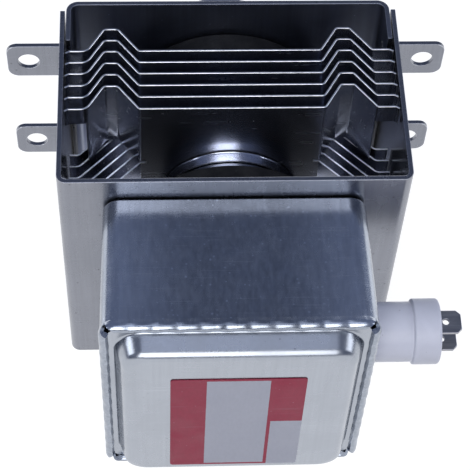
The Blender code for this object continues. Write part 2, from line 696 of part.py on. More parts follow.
def turned_cup(profile):
    """Spin a profile whose middle points meet the axis twice, once outside and once inside."""
    bm = bmesh.new()
    points = [bm.verts.new((radius, y, 0)) for y, radius in profile]
    edges = []
    for i, point in enumerate(points):
        following = points[(i + 1) % len(points)]
        if point.co.x > 0 or following.co.x > 0:
            edges.append(bm.edges.new((point, following)))
    bmesh.ops.spin(bm, geom=points + edges, cent=(0, 0, 0), axis=(0, 1, 0), angle=2 * math.pi,
                   steps=MEDIUM, use_merge=True)
    bmesh.ops.remove_doubles(bm, verts=bm.verts, dist=1e-7)
    return bm


# Filter box and cover

def box_half(y):
    """Half width and half height of the box's outer surface at a depth y, draft included."""
    share = (BOX_REAR_Y - y) / (BOX_REAR_Y - LIP_START_Y)
    return BOX_WIDTH / 2 + BOX_DRAFT * share, BOX_HEIGHT / 2 + BOX_DRAFT * share


def box_surface(offset):
    """Rings of the box's surface from the rear face to the rim, moved inwards by an offset."""
    rings = []
    edge = BOX_EDGE - offset
    for i in range(4):
        angle = math.radians(90 * i / 3)
        y = BOX_REAR_Y - offset - edge * (1 - math.cos(angle))
        half_x, half_z = box_half(y)
        inset = offset + edge * (1 - math.sin(angle))
        rings.append(rounded_ring(half_x - inset, half_z - inset, BOX_CORNER - min(inset, BOX_CORNER - 0.0008), y))
    half_x, half_z = box_half(LIP_START_Y)
    corner = BOX_CORNER - offset
    rings.append(rounded_ring(half_x - offset, half_z - offset, corner, LIP_START_Y))
    lip = offset - LIP_FLARE
    rings.append(rounded_ring(half_x - lip, half_z - lip, corner, LIP_START_Y - LIP_FLARE))
    rings.append(rounded_ring(half_x - lip, half_z - lip, corner, BOX_FRONT_Y))
    return rings


def crimp_cutters():
    """Short bars that press a row of dents in the outside of the lip."""
    bars = []
    offset = CRIMP_RADIUS - CRIMP_DEPTH
    for half_along, half_across, upright in ((LIP_HALF_X, LIP_HALF_Z, False), (LIP_HALF_Z, LIP_HALF_X, True)):
        count = int((half_along - BOX_CORNER) * 2 / CRIMP_PITCH)
        for side in (-1, 1):
            for i in range(count):
                along = (i - (count - 1) / 2) * CRIMP_PITCH
                across = side * (half_across + offset)
                x, z = (across, along) if upright else (along, across)
                bar = rod(CRIMP_RADIUS, BOX_FRONT_Y - GAP, BOX_FRONT_Y + CRIMP_LENGTH, 8)
                bars.append(shifted(bar, (x, 0, MIDDLE_Z + z)))
    return merged(*bars)


def corner_notches():
    """V cutters for the notches at the four corners of the lip."""
    notches = []
    for sign_x in (-1, 1):
        for sign_z in (-1, 1):
            corner = Vector((sign_x * LIP_HALF_X, 0, MIDDLE_Z + sign_z * LIP_HALF_Z))
            out = Vector((sign_x, 0, sign_z)).normalized()
            side = Vector((-out.z, 0, out.x)) * NOTCH_WIDTH / 2
            inner = corner - out * BOX_CORNER
            front = Vector((0, BOX_FRONT_Y - GAP, 0))
            tip = Vector((0, BOX_FRONT_Y + NOTCH_DEPTH, 0))
            notches.append(prism([inner + front + side, inner + front - side, inner + tip], out * BOX_CORNER * 1.5))
    return merged(*notches)


def filter_box():
    """Drawn tray against the input plate, with a stem hole, a capacitor hole and a crimped lip."""
    outer = box_surface(0)
    inner = box_surface(BOX_SHEET)
    box = place("filter_box", lofted(outer + list(reversed(inner))), steel, (0, 0, MIDDLE_Z))
    boolean(box, rod(CUP_RADIUS + 2 * RUNNING_GAP, BOX_REAR_Y - 3 * BOX_SHEET, BOX_REAR_Y + BOX_SHEET, FINE),
            location=(0, 0, AXIS_Z))
    boolean(box, along_x(rod(CAPACITOR_RADIUS + GAP, BOX_WIDTH / 2 - 3 * BOX_SHEET,
                             BOX_WIDTH / 2 + 4 * BOX_SHEET, MEDIUM)), location=(0, CAPACITOR_Y, AXIS_Z))
    holes = [shifted(rod(BOX_RIVET_RADIUS + GAP, BOX_REAR_Y - 3 * BOX_SHEET, BOX_REAR_Y + BOX_SHEET, SMALL),
                     (x, 0, z)) for x, z in box_rivet_places()]
    boolean(box, merged(*holes))
    boolean(box, crimp_cutters())
    boolean(box, corner_notches())


def box_rivet_places():
    """X and Z of the rivets between the box and the input plate."""
    across, along = BOX_WIDTH / 2 - BOX_RIVET_SIDE_INSET, BOX_HEIGHT / 2 - BOX_RIVET_END_INSET
    return [(side * across, MIDDLE_Z + end * along) for side in (-1, 1) for end in (-1, 1)]


def box_rivets():
    """Rivets with a head inside the box, flush with the inner face of the input plate."""
    r, head = BOX_RIVET_RADIUS, BOX_RIVET_HEAD_RADIUS
    low = BOX_REAR_Y - BOX_SHEET - GAP
    profile = [(low - BOX_RIVET_HEAD, 0), (low - BOX_RIVET_HEAD, head * 0.7), (low, head), (low, r),
               (YOKE_SHEET, r), (YOKE_SHEET, 0)]
    for i, (x, z) in enumerate(box_rivet_places(), 1):
        place(f"box_rivet_{i}", turned(profile, SMALL), bright_steel, (x, 0, z))


def cover_surface(offset):
    """Rings of the cover from its outer edge to its panel, for the face at a sheet offset."""
    y = COVER_Y + offset
    base_x, base_z = COVER_HALF_X - COVER_CHANNEL - offset, COVER_HALF_Z - COVER_CHANNEL - offset
    corner = PANEL_CORNER - offset
    edge = PANEL_EDGE
    top = PANEL_Y + offset
    return [rounded_ring(COVER_HALF_X, COVER_HALF_Z, BOX_CORNER - BOX_SHEET - GAP, y),
            rounded_ring(base_x, base_z, corner, y),
            rounded_ring(base_x - PANEL_SLOPE + edge * 0.3, base_z - PANEL_SLOPE + edge * 0.3, corner, top + edge),
            rounded_ring(base_x - PANEL_SLOPE, base_z - PANEL_SLOPE, corner, top + edge * 0.3),
            rounded_ring(base_x - PANEL_SLOPE - edge * 0.7, base_z - PANEL_SLOPE - edge * 0.7, corner - edge * 0.7,
                         top)]


def filter_cover():
    """Pressed lid with a channel round a raised panel."""
    front = cover_surface(0)
    back = cover_surface(COVER_SHEET)
    place("filter_cover", lofted(list(reversed(front)) + back), steel, (0, 0, MIDDLE_Z))


def rating_label():
    """Thin label on the raised panel."""
    z = MIDDLE_Z - LABEL_DROP
    low = (-LABEL_WIDTH / 2, LABEL_FRONT_Y, z - LABEL_HEIGHT / 2)
    high = (LABEL_WIDTH / 2, LABEL_FRONT_Y + LABEL_THICKNESS, z + LABEL_HEIGHT / 2)
    place("rating_label", block(low, high), label_print)


# Capacitor and chokes

def capacitor_wall_x():
    """X of the box wall's outer face at the capacitor's axis."""
    return box_half(CAPACITOR_Y)[0]


def draft_angle():
    """Lean of the box's side walls."""
    return math.atan(BOX_DRAFT / (BOX_REAR_Y - LIP_START_Y))


def capacitor():
    """Moulded feedthrough body, its mounting plate inside the box and its two blades."""
    wall = capacitor_wall_x()
    step = wall + CAPACITOR_REACH
    end = step + CAPACITOR_HEAD_LENGTH
    start = wall - BOX_SHEET - CAPACITOR_INNER_LENGTH
    c, r, head = CAPACITOR_ROUND, CAPACITOR_RADIUS, CAPACITOR_HEAD_RADIUS
    profile = [(start, 0), (start, r - c), (start + c, r), (step, r), (step + c, head), (end - c, head),
               (end, head - c), (end, 0)]
    body = place("capacitor_body", along_x(turned(profile, MEDIUM)), moulding, (0, CAPACITOR_Y, AXIS_Z))
    slots = []
    for side in (-1, 1):
        z = side * BLADE_SPACING / 2
        half = BLADE_THICKNESS / 2 + GAP
        width = BLADE_WIDTH / 2 + GAP
        slots.append(block((start - c, -width, z - half), (end + c, width, z + half)))
    boolean(body, merged(*slots), location=(0, CAPACITOR_Y, AXIS_Z))
    capacitor_plate(wall)
    for side, name in ((1, "capacitor_blade_upper"), (-1, "capacitor_blade_lower")):
        capacitor_blade(name, start, end, AXIS_Z + side * BLADE_SPACING / 2)


def capacitor_plate(wall):
    """Square plate inside the box wall, leaning with the wall's draft."""
    half = CAPACITOR_PLATE / 2
    ring = rounded_ring(half, half, CAPACITOR_ROUND * 5, 0, 3)
    bm = prism(ring, (0, -CAPACITOR_PLATE_SHEET, 0))
    plate = place("capacitor_plate", along_x(bm), bright_steel,
                  (wall - BOX_SHEET / math.cos(draft_angle()) - GAP, CAPACITOR_Y, AXIS_Z))
    plate.rotation_euler = (0, 0, draft_angle())
    reach = 3 * CAPACITOR_PLATE_SHEET
    boolean(plate, along_x(rod(CAPACITOR_RADIUS + GAP, wall - 2 * reach, wall + reach, MEDIUM)),
            location=(0, CAPACITOR_Y, AXIS_Z))


def capacitor_blade(name, start, end, z):
    """Flat blade through the capacitor, with a chamfered tip and a small hole."""
    tip, half, c = end + BLADE_REACH, BLADE_WIDTH / 2, BLADE_CHAMFER
    inner = start - BLADE_INNER_REACH
    outline = [(inner, -half), (tip - c, -half), (tip, -half + c), (tip, half - c), (tip - c, half), (inner, half)]
    low = z - BLADE_THICKNESS / 2
    bm = prism([(x, y + CAPACITOR_Y, low) for x, y in outline], (0, 0, BLADE_THICKNESS))
    blade = place(name, bm, tinned)
    drill = turned([(-BLADE_WIDTH, 0), (-BLADE_WIDTH, BLADE_HOLE_RADIUS), (BLADE_WIDTH, BLADE_HOLE_RADIUS),
                    (BLADE_WIDTH, 0)], 16)
    bmesh.ops.rotate(drill, verts=drill.verts, cent=(0, 0, 0), matrix=Matrix.Rotation(math.pi / 2, 3, "X"))
    boolean(blade, drill, location=(tip - BLADE_HOLE_INSET, CAPACITOR_Y, z))


def chokes():
    """Two coils on ferrite rods, wired from the stem's leads to the capacitor's blades."""
    body_start = capacitor_wall_x() - BOX_SHEET - CAPACITOR_INNER_LENGTH
    wire_gap = CHOKE_WIRE + GAP
    near, far = CHOKE_Y + CHOKE_RADIUS, CHOKE_Y - CHOKE_RADIUS
    end_x = CHOKE_START + CHOKE_LENGTH
    for side, level, lead_drop in ((1, "upper", 0), (-1, "lower", SIDE_LEAD_OFFSET)):
        centre = Vector((0, CHOKE_Y, AXIS_Z + side * CHOKE_RISE))
        coil = helix(centre, CHOKE_RADIUS, CHOKE_START, CHOKE_LENGTH, CHOKE_TURNS, 0, "X")
        coil = [Vector((p.x, p.y, centre.z + side * (p.z - centre.z))) for p in coil]
        lead = Vector((0, LEAD_END - wire_gap, AXIS_Z - lead_drop))
        entry = [lead, lead + Vector((CHOKE_START / 2, 0, side * CHOKE_WIRE)),
                 Vector((CHOKE_START - CHOKE_WIRE, near, centre.z - side * 1.4 * CHOKE_RADIUS)), coil[0]]
        blade_z = AXIS_Z + side * (BLADE_SPACING / 2 + BLADE_THICKNESS / 2 + wire_gap)
        leave = [coil[-1], Vector((end_x + CHOKE_WIRE, far, centre.z - side * CHOKE_RADIUS)),
                 Vector((body_start - 1.5 * BLADE_INNER_REACH, CAPACITOR_Y, blade_z + side * CHOKE_WIRE)),
                 Vector((body_start - GAP, CAPACITOR_Y, blade_z))]
        path = smooth_path(entry, 3)[:-1] + coil + smooth_path(leave, 3)[1:]
        wire(f"choke_coil_{level}", path, CHOKE_WIRE, enamel, 0)
        middle = (CHOKE_START + CHOKE_LENGTH / 2, centre.y, centre.z)
        place(f"choke_rod_{level}", along_x(rod(ROD_RADIUS, -ROD_LENGTH / 2, ROD_LENGTH / 2)), ferrite, middle)


for item in list(bpy.data.objects):
    bpy.data.objects.remove(item, do_unlink=True)

steel = material("zinc_plated_steel", (0.60, 0.61, 0.64), 0.38, 1.0)
bright_steel = material("bright_steel", (0.72, 0.72, 0.74), 0.22, 1.0)
ferrite = material("ferrite", (0.05, 0.05, 0.055), 0.55, 0.0)
copper = material("copper", (0.72, 0.42, 0.28), 0.35, 1.0)
iron = material("soft_iron", (0.42, 0.42, 0.43), 0.40, 1.0)
aluminium = material("aluminium_sheet", (0.78, 0.79, 0.81), 0.25, 1.0)
tungsten = material("tungsten", (0.35, 0.35, 0.36), 0.50, 1.0)
molybdenum = material("molybdenum", (0.50, 0.50, 0.52), 0.40, 1.0)
ceramic = material("stem_alumina", (0.85, 0.84, 0.82), 0.45, 0.0)
pink_ceramic = material("output_alumina", (0.82, 0.58, 0.58), 0.40, 0.0)
mesh_metal = material("woven_mesh", (0.62, 0.62, 0.60), 0.50, 1.0)
label_print = material("label_print", (0.66, 0.66, 0.71), 0.45, 0.0)
moulding = material("moulded_case", (0.72, 0.72, 0.80), 0.40, 0.0)
tinned = material("tinned_blade", (0.30, 0.31, 0.33), 0.45, 1.0)
enamel = material("enamelled_wire", (0.55, 0.24, 0.12), 0.35, 0.6)

frame = bpy.data.objects.new("magnetron_frame", None)
bpy.context.scene.collection.objects.link(frame)
frame.location = (0, -(LABEL_FRONT_Y + CAP_END) / 2, 0)

yoke_bracket()
output_plate()
yoke_rivets()
magnet("magnet_input", INPUT_MAGNET_Y)
magnet("magnet_output", OUTPUT_MAGNET_Y)
anode_block()
strap_ring("strap_ring_input", VANE_START)
strap_ring("strap_ring_output", VANE_END - STRAP_THICKNESS)
pole_piece("pole_piece_input", ANODE_START, 1)
output_pole = pole_piece("pole_piece_output", ANODE_END, -1)
boolean(output_pole, rod(ANTENNA_RADIUS + ANTENNA_PORT_RADIUS, -POLE_DEPTH * 1.5, POLE_DEPTH / 2, 16),
        location=(0, ANODE_END, AXIS_Z + ANTENNA_FOOT_RADIUS))
seal_cups()
for number in range(FIN_COUNT):
    cooling_fin(f"cooling_fin_{number + 1}", FIN_FIRST + FIN_PITCH * number)
cathode()
stem_ceramic()
output_stack()
filter_box()
box_rivets()
filter_cover()
rating_label()
capacitor()
chokes()
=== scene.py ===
"""Looks of a microwave-oven magnetron: detailed pieces, finishes, light and camera.

Every sub-assembly is a class. Sizes are in millimetres in the tube's own frame, where Y = 0 is the outer
face of the input plate, Z = 0 the lower rim of the yoke and X = 0 the middle of the tube.
"""
import logging
import math
import random
from dataclasses import dataclass
from enum import Enum

import bmesh
import bpy
from bmesh.types import BMesh, BMVert
from bpy.types import Camera, Light, Material, Mesh, Node, NodeSocket, NodeTree, Object, World
from mathutils import Matrix, Vector


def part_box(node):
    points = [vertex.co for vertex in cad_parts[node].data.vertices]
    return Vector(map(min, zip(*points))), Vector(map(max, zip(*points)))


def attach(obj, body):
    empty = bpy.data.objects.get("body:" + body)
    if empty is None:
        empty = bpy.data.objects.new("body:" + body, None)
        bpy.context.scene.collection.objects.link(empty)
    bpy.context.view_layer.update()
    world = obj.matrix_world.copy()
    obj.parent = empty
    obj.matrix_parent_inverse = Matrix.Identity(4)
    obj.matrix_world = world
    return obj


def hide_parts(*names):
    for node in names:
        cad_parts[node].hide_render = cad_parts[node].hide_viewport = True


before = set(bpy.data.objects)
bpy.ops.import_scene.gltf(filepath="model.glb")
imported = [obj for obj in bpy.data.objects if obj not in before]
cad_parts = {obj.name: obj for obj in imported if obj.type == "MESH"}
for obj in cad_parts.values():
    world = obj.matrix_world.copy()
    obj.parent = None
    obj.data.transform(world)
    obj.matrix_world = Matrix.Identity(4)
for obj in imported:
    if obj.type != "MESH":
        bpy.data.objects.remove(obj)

MM = 0.001
AXIS_Z = 44.5
MIDDLE_Z = 40.0
TOLERANCE = 1e-4
HAIR = 1e-6
INWARD = 0.7
EASED_ANGLE = 50.0
WHITE = (1.0, 1.0, 1.0)
DUST_COLOUR = (0.42, 0.41, 0.39)
BODY = "root"

log = logging.getLogger("magnetron")

Point2 = tuple[float, float]
Point3 = tuple[float, float, float]
Colour = tuple[float, float, float]
Level = tuple[float, float, float, float]
Place = tuple[Vector, Vector, Vector]
Value = float | tuple | NodeSocket


class Slot(Enum):
    """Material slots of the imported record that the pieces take."""

    ZINC = "zinc_plated_steel"
    BRIGHT = "bright_steel"
    FERRITE = "ferrite"
    COPPER = "copper"
    ALUMINIUM = "aluminium_sheet"
    OUTPUT = "output_alumina"
    MESH = "woven_mesh"
    LABEL = "label_print"
    CASE = "moulded_case"
    TINNED = "tinned_blade"


class Side(Enum):
    """The two sides of the yoke."""

    LEFT = -1
    RIGHT = 1


# Outlines and solids


def arc(centre: Point2, radius: float, start: float, end: float, steps: int) -> list[Point2]:
    """Points on an arc.

    Args:
        centre: Centre of the arc.
        radius: Radius of the arc.
        start: First angle in degrees.
        end: Last angle in degrees.
        steps: Number of chords.

    Returns:
        The points, both ends included.
    """
    angles = [math.radians(start + (end - start) * i / steps) for i in range(steps + 1)]
    return [(centre[0] + radius * math.cos(a), centre[1] + radius * math.sin(a)) for a in angles]


def rounded(points: list[Point2], radii: list[float], closed: bool = True, steps: int = 6,
            support: float = 0.15) -> list[Point2]:
    """Rounds the corners of an outline and keeps a short flat beside each round.

    Args:
        points: Corners of the outline in order.
        radii: Radius at each corner, 0 for a sharp one.
        closed: Whether the last corner joins the first.
        steps: Chords per round.
        support: Length of the flat kept beside each round.

    Returns:
        The points of the rounded outline.
    """
    out: list[Point2] = []
    count = len(points)
    for i, (corner, radius) in enumerate(zip(points, radii)):
        here = Vector(corner)
        if radius <= 0 or (not closed and i in (0, count - 1)):
            out.append((here.x, here.y))
            continue
        back = Vector(points[i - 1]) - here
        ahead = Vector(points[(i + 1) % count]) - here
        half = back.angle(ahead) / 2
        reach = radius / math.tan(half)
        spare_back = min(support, max(0.0, back.length / 2 - reach))
        spare_ahead = min(support, max(0.0, ahead.length / 2 - reach))
        back.normalize()
        ahead.normalize()
        centre = here + (back + ahead).normalized() * (radius / math.sin(half))
        first, last = here + back * reach - centre, here + ahead * reach - centre
        turn = math.atan2(first.x * last.y - first.y * last.x, first.dot(last))
        if spare_back > TOLERANCE:
            spot = here + back * (reach + spare_back)
            out.append((spot.x, spot.y))
        start = math.atan2(first.y, first.x)
        for k in range(steps + 1):
            angle = start + turn * k / steps
            out.append((centre.x + radius * math.cos(angle), centre.y + radius * math.sin(angle)))
        if spare_ahead > TOLERANCE:
            spot = here + ahead * (reach + spare_ahead)
            out.append((spot.x, spot.y))
    return out


def subdivided(points: list[Point2], step: float) -> list[Point2]:
    """An open line with extra points, so that no piece of it is longer than a step.

    Args:
        points: The line's points.
        step: Longest piece allowed.

    Returns:
        The old points with the new ones between them.
    """
    line = [points[0]]
    for a, b in zip(points, points[1:]):
        count = max(1, math.ceil(math.dist(a, b) / step))
        line += [(a[0] + (b[0] - a[0]) * k / count, a[1] + (b[1] - a[1]) * k / count) for k in range(1, count + 1)]
    return line


def lathe(profile: list[Point2], steps: int = 96, chip: float = 0.0, seed: int = 1) -> BMesh:
    """Spins a closed profile about the Y axis.

    Args:
        profile: Points of (y, radius) in order round the section.
        steps: Facets round the axis.
        chip: Depth of small random dents, for brittle edges.
        seed: Seed of the dents.

    Returns:
        A closed mesh about the Y axis.
    """
    dice = random.Random(seed)
    bm = bmesh.new()
    rings = []
    for y, radius in profile:
        if radius < HAIR:
            rings.append([bm.verts.new((0, y, 0))])
            continue
        ring = []
        for i in range(steps):
            angle = 2 * math.pi * i / steps
            inward = radius - chip * dice.random() ** 6
            ring.append(bm.verts.new((inward * math.cos(angle), y, inward * math.sin(angle))))
        rings.append(ring)
    pairs = list(zip(rings, rings[1:]))
    if len(rings[0]) > 1 or len(rings[-1]) > 1:
        pairs.append((rings[-1], rings[0]))
    for a, b in pairs:
        if len(a) == 1 and len(b) == 1:
            continue
        for i in range(steps):
            j = (i + 1) % steps
            if len(a) == 1:
                bm.faces.new((a[0], b[i], b[j]))
            elif len(b) == 1:
                bm.faces.new((a[i], b[0], a[j]))
            else:
                bm.faces.new((a[i], b[i], b[j], a[j]))
    bmesh.ops.recalc_face_normals(bm, faces=bm.faces)
    return bm


def pin(radius: float, start: float, end: float, steps: int = 48) -> BMesh:
    """A plain round bar along Y, used as a cutter."""
    return lathe([(start, 0), (start, radius), (end, radius), (end, 0)], steps)


def prism(outline: list[Point3], vector: Point3) -> BMesh:
    """Extrudes a plane outline along a vector into a closed mesh."""
    bm = bmesh.new()
    low = [bm.verts.new(point) for point in outline]
    high = [bm.verts.new(Vector(point) + Vector(vector)) for point in outline]
    bm.faces.new(low)
    bm.faces.new(list(reversed(high)))
    for i in range(len(low)):
        j = (i + 1) % len(low)
        bm.faces.new((low[i], high[i], high[j], low[j]))
    bmesh.ops.recalc_face_normals(bm, faces=bm.faces)
    return bm


def bridged(bm: BMesh, rows: list[list[BMVert]]) -> None:
    """Joins closed rows of equally many vertices in turn."""
    for row, following in zip(rows, rows[1:]):
        for i in range(len(row)):
            j = (i + 1) % len(row)
            bm.faces.new((row[i], row[j], following[j], following[i]))


def loft(rings: list[list[Vector]], cap_start: bool = True) -> BMesh:
    """Joins rings of equally many points in turn and closes the last one.

    Args:
        rings: Rings of points, all with the same count.
        cap_start: Whether the first ring is closed too.

    Returns:
        The mesh, with normals recalculated.
    """
    bm = bmesh.new()
    rows = [[bm.verts.new(point) for point in ring] for ring in rings]
    bridged(bm, rows)
    if cap_start:
        bm.faces.new(rows[0])
    bm.faces.new(list(reversed(rows[-1])))
    bmesh.ops.recalc_face_normals(bm, faces=bm.faces)
    return bm


def moved(bm: BMesh, x: float = 0, y: float = 0, z: float = 0) -> BMesh:
    """Moves a mesh and returns it."""
    bmesh.ops.translate(bm, vec=(x, y, z), verts=bm.verts)
    return bm


def along_x(bm: BMesh, side: int = 1) -> BMesh:
    """Turns a solid built along +Y so that it runs along +X or -X."""
    turn = Matrix.Rotation(-side * math.pi / 2, 3, "Z")
    bmesh.ops.rotate(bm, verts=bm.verts, cent=(0, 0, 0), matrix=turn)
    return bm


def mesh_of(bm: BMesh, name: str = "solid") -> Mesh:
    """Writes a bmesh to a new mesh and frees it."""
    mesh = bpy.data.meshes.new(name)
    bm.to_mesh(mesh)
    bm.free()
    return mesh


def evaluated(item: Object) -> Mesh:
    """The mesh of an object with its modifiers applied, as a new mesh."""
    bpy.context.view_layer.update()
    graph = bpy.context.evaluated_depsgraph_get()
    return bpy.data.meshes.new_from_object(item.evaluated_get(graph))


def placed(data: Mesh | Light | Camera, name: str = "work") -> Object:
    """Links a new object that holds a mesh, a light or a camera."""
    item = bpy.data.objects.new(name, data)
    bpy.context.scene.collection.objects.link(item)
    return item


def workpiece(bm: BMesh, slots: int = 0) -> Object:
    """A working object that holds a mesh, with a number of empty material slots."""
    item = placed(mesh_of(bm))
    for _ in range(slots):
        item.data.materials.append(None)
    return item


def modified(item: Object, kind: str, **settings) -> None:
    """Adds a modifier of a kind to an object and sets its properties."""
    step = item.modifiers.new(kind, kind)
    for key, value in settings.items():
        setattr(step, key, value)


def scrap(*items: Object) -> None:
    """Removes working objects and their meshes."""
    for item in items:
        mesh = item.data
        bpy.data.objects.remove(item, do_unlink=True)
        bpy.data.meshes.remove(mesh)


def baked(item: Object, *helpers: Object) -> BMesh:
    """The shape of a working object with its modifiers applied; it and its helpers are removed."""
    mesh = evaluated(item)
    scrap(item, *helpers)
    out = bmesh.new()
    out.from_mesh(mesh)
    bpy.data.meshes.remove(mesh)
    return out


def carved(bm: BMesh, cutters: list[BMesh], joined: list[BMesh] | None = None) -> BMesh:
    """Joins closed meshes to a closed mesh, then cuts others out of it.

    Args:
        bm: The mesh that is worked on.
        cutters: The meshes that are cut out, in order.
        joined: The meshes that are joined first, in order.

    Returns:
        The new mesh.
    """
    base = workpiece(bm)
    helpers = []
    for operation, tools in (("UNION", joined or []), ("DIFFERENCE", cutters)):
        for tool in tools:
            helpers.append(workpiece(tool))
            modified(base, "BOOLEAN", operation=operation, solver="MANIFOLD", object=helpers[-1])
    return baked(base, *helpers)


def eased(bm: BMesh, width: float, segments: int = 2) -> BMesh:
    """Breaks the sharp edges of a mesh and gives the broken edges material index 1.

    Args:
        bm: The mesh that is worked on.
        width: Width of the broken edge.
        segments: Facets across the broken edge.

    Returns:
        The new mesh.
    """
    item = workpiece(bm, 2)
    modified(item, "BEVEL", width=width, segments=segments, limit_method="ANGLE",
             angle_limit=math.radians(EASED_ANGLE), use_clamp_overlap=False, material=1)
    return baked(item)


class Workshop:
    """Turns meshes in millimetres into pieces on the frame."""

    def __init__(self) -> None:
        """Finds the tube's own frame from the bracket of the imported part."""
        low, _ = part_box("yoke_bracket")
        self.origin = Vector((0, low.y, 0))
        self.made: list[Object] = []

    def settle(self, mesh: Mesh, angle: float = 20.0) -> Mesh:
        """Scales a mesh to metres, moves it into the frame and shades it.

        Args:
            mesh: Mesh in millimetres in the tube's own frame.
            angle: Edges that turn more than this many degrees stay sharp.

        Returns:
            The same mesh.
        """
        mesh.transform(Matrix.Translation(self.origin) @ Matrix.Scale(MM, 4))
        mesh.shade_smooth()
        mesh.set_sharp_from_angle(angle=math.radians(angle))
        return mesh

    def piece(self, name: str, shape: BMesh | Mesh,
              finishes: list[Material], stands_for: list[str], angle: float = 20.0) -> Object:
        """Puts one finished piece on the frame.

        Args:
            name: Name of the piece.
            shape: Its mesh in millimetres in the tube's own frame.
            finishes: Materials by face index.
            stands_for: CAD nodes that the piece replaces.
            angle: Sharp-edge angle in degrees.

        Returns:
            The object.
        """
        if isinstance(shape, BMesh):
            shape = mesh_of(shape, name)
        mesh = self.settle(shape, angle)
        mesh.name = name
        indices = [0] * len(mesh.polygons)
        mesh.polygons.foreach_get("material_index", indices)
        mesh.materials.clear()
        for finish in finishes:
            mesh.materials.append(finish)
        top = len(finishes) - 1
        mesh.polygons.foreach_set("material_index", [min(i, top) for i in indices])
        item = placed(mesh, name)
        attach(item, BODY)
        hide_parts(*stands_for)
        self.made.append(item)
        mesh.calc_loop_triangles()
        log.info("%s: %d triangles, stands for %s", name, len(mesh.loop_triangles), ", ".join(stands_for))
        return item


# Node trees


class Graph:
    """A node tree under construction, with short calls for nodes, links and sockets."""

    def __init__(self, tree: NodeTree) -> None:
        """Wraps a node tree."""
        self.tree = tree

    def node(self, kind: str, wires: dict | None = None, **settings) -> Node:
        """Adds a node.

        Args:
            kind: Type of the node.
            wires: Input by name or index, with a socket to link or a value to set.
            **settings: Properties of the node.

        Returns:
            The node.
        """
        made = self.tree.nodes.new(kind)
        for key, value in settings.items():
            setattr(made, key, value)
        for key, value in (wires or {}).items():
            self.feed(value, made.inputs[key])
        return made

    def feed(self, value: Value, socket: NodeSocket) -> None:
        """Links a socket to an input, or sets the input to a value."""
        if isinstance(value, NodeSocket):
            self.tree.links.new(value, socket)
        else:
            socket.default_value = value

    def math(self, operation: str, a: Value, b: Value = 0.0, clamp: bool = False) -> NodeSocket:
        """A math node on one or two values."""
        return self.node("ShaderNodeMath", {0: a, 1: b}, operation=operation, use_clamp=clamp).outputs[0]

    def times(self, a: Value, b: Value, clamp: bool = False) -> NodeSocket:
        """The product of two values."""
        return self.math("MULTIPLY", a, b, clamp)

    def plus(self, a: Value, b: Value, clamp: bool = False) -> NodeSocket:
        """The sum of two values."""
        return self.math("ADD", a, b, clamp)

    def minus(self, a: Value, b: Value, clamp: bool = False) -> NodeSocket:
        """The first value less the second."""
        return self.math("SUBTRACT", a, b, clamp)

    def contrasted(self, value: Value, strength: Value) -> NodeSocket:
        """A value spread about one half, clamped."""
        return self.plus(self.times(self.minus(value, 0.5), strength), 0.5, clamp=True)

    def vector(self, operation: str, a: Value, b: Value = (0.0, 0.0, 0.0)) -> NodeSocket:
        """A vector math node that gives a vector."""
        return self.node("ShaderNodeVectorMath", {0: a, 1: b}, operation=operation).outputs[0]

    def part_of(self, vector: Value, axis: int) -> NodeSocket:
        """One of the three parts of a vector."""
        return self.node("ShaderNodeSeparateXYZ", {0: vector}).outputs[axis]

    def noise(self, spot: NodeSocket, scale: Value, detail: float, roughness: float = 0.5,
              distortion: float = 0.0) -> NodeSocket:
        """The value of a noise texture."""
        return self.node("ShaderNodeTexNoise", {"Vector": spot, "Scale": scale, "Detail": detail,
                                                "Roughness": roughness, "Distortion": distortion}).outputs["Fac"]

    def mix(self, factor: Value, a: Value, b: Value) -> NodeSocket:
        """A mix of two colours."""
        made = self.node("ShaderNodeMix", data_type="RGBA", clamp_factor=True)
        self.feed(factor, made.inputs[0])
        for index, colour in ((6, a), (7, b)):
            self.feed(colour if isinstance(colour, NodeSocket) else (*colour, 1.0), made.inputs[index])
        return made.outputs[2]

    def remap(self, value: Value, low: Value, high: Value, new_low: float = 0.0, new_high: float = 1.0,
              kind: str = "LINEAR") -> NodeSocket:
        """A map range node, clamped."""
        return self.node("ShaderNodeMapRange", {0: value, 1: low, 2: high, 3: new_low, 4: new_high},
                         interpolation_type=kind, clamp=True).outputs[0]


def emptied(owner: Material | World) -> Graph:
    """The emptied node tree of a material or a world."""
    owner.use_nodes = True
    owner.node_tree.nodes.clear()
    return Graph(owner.node_tree)


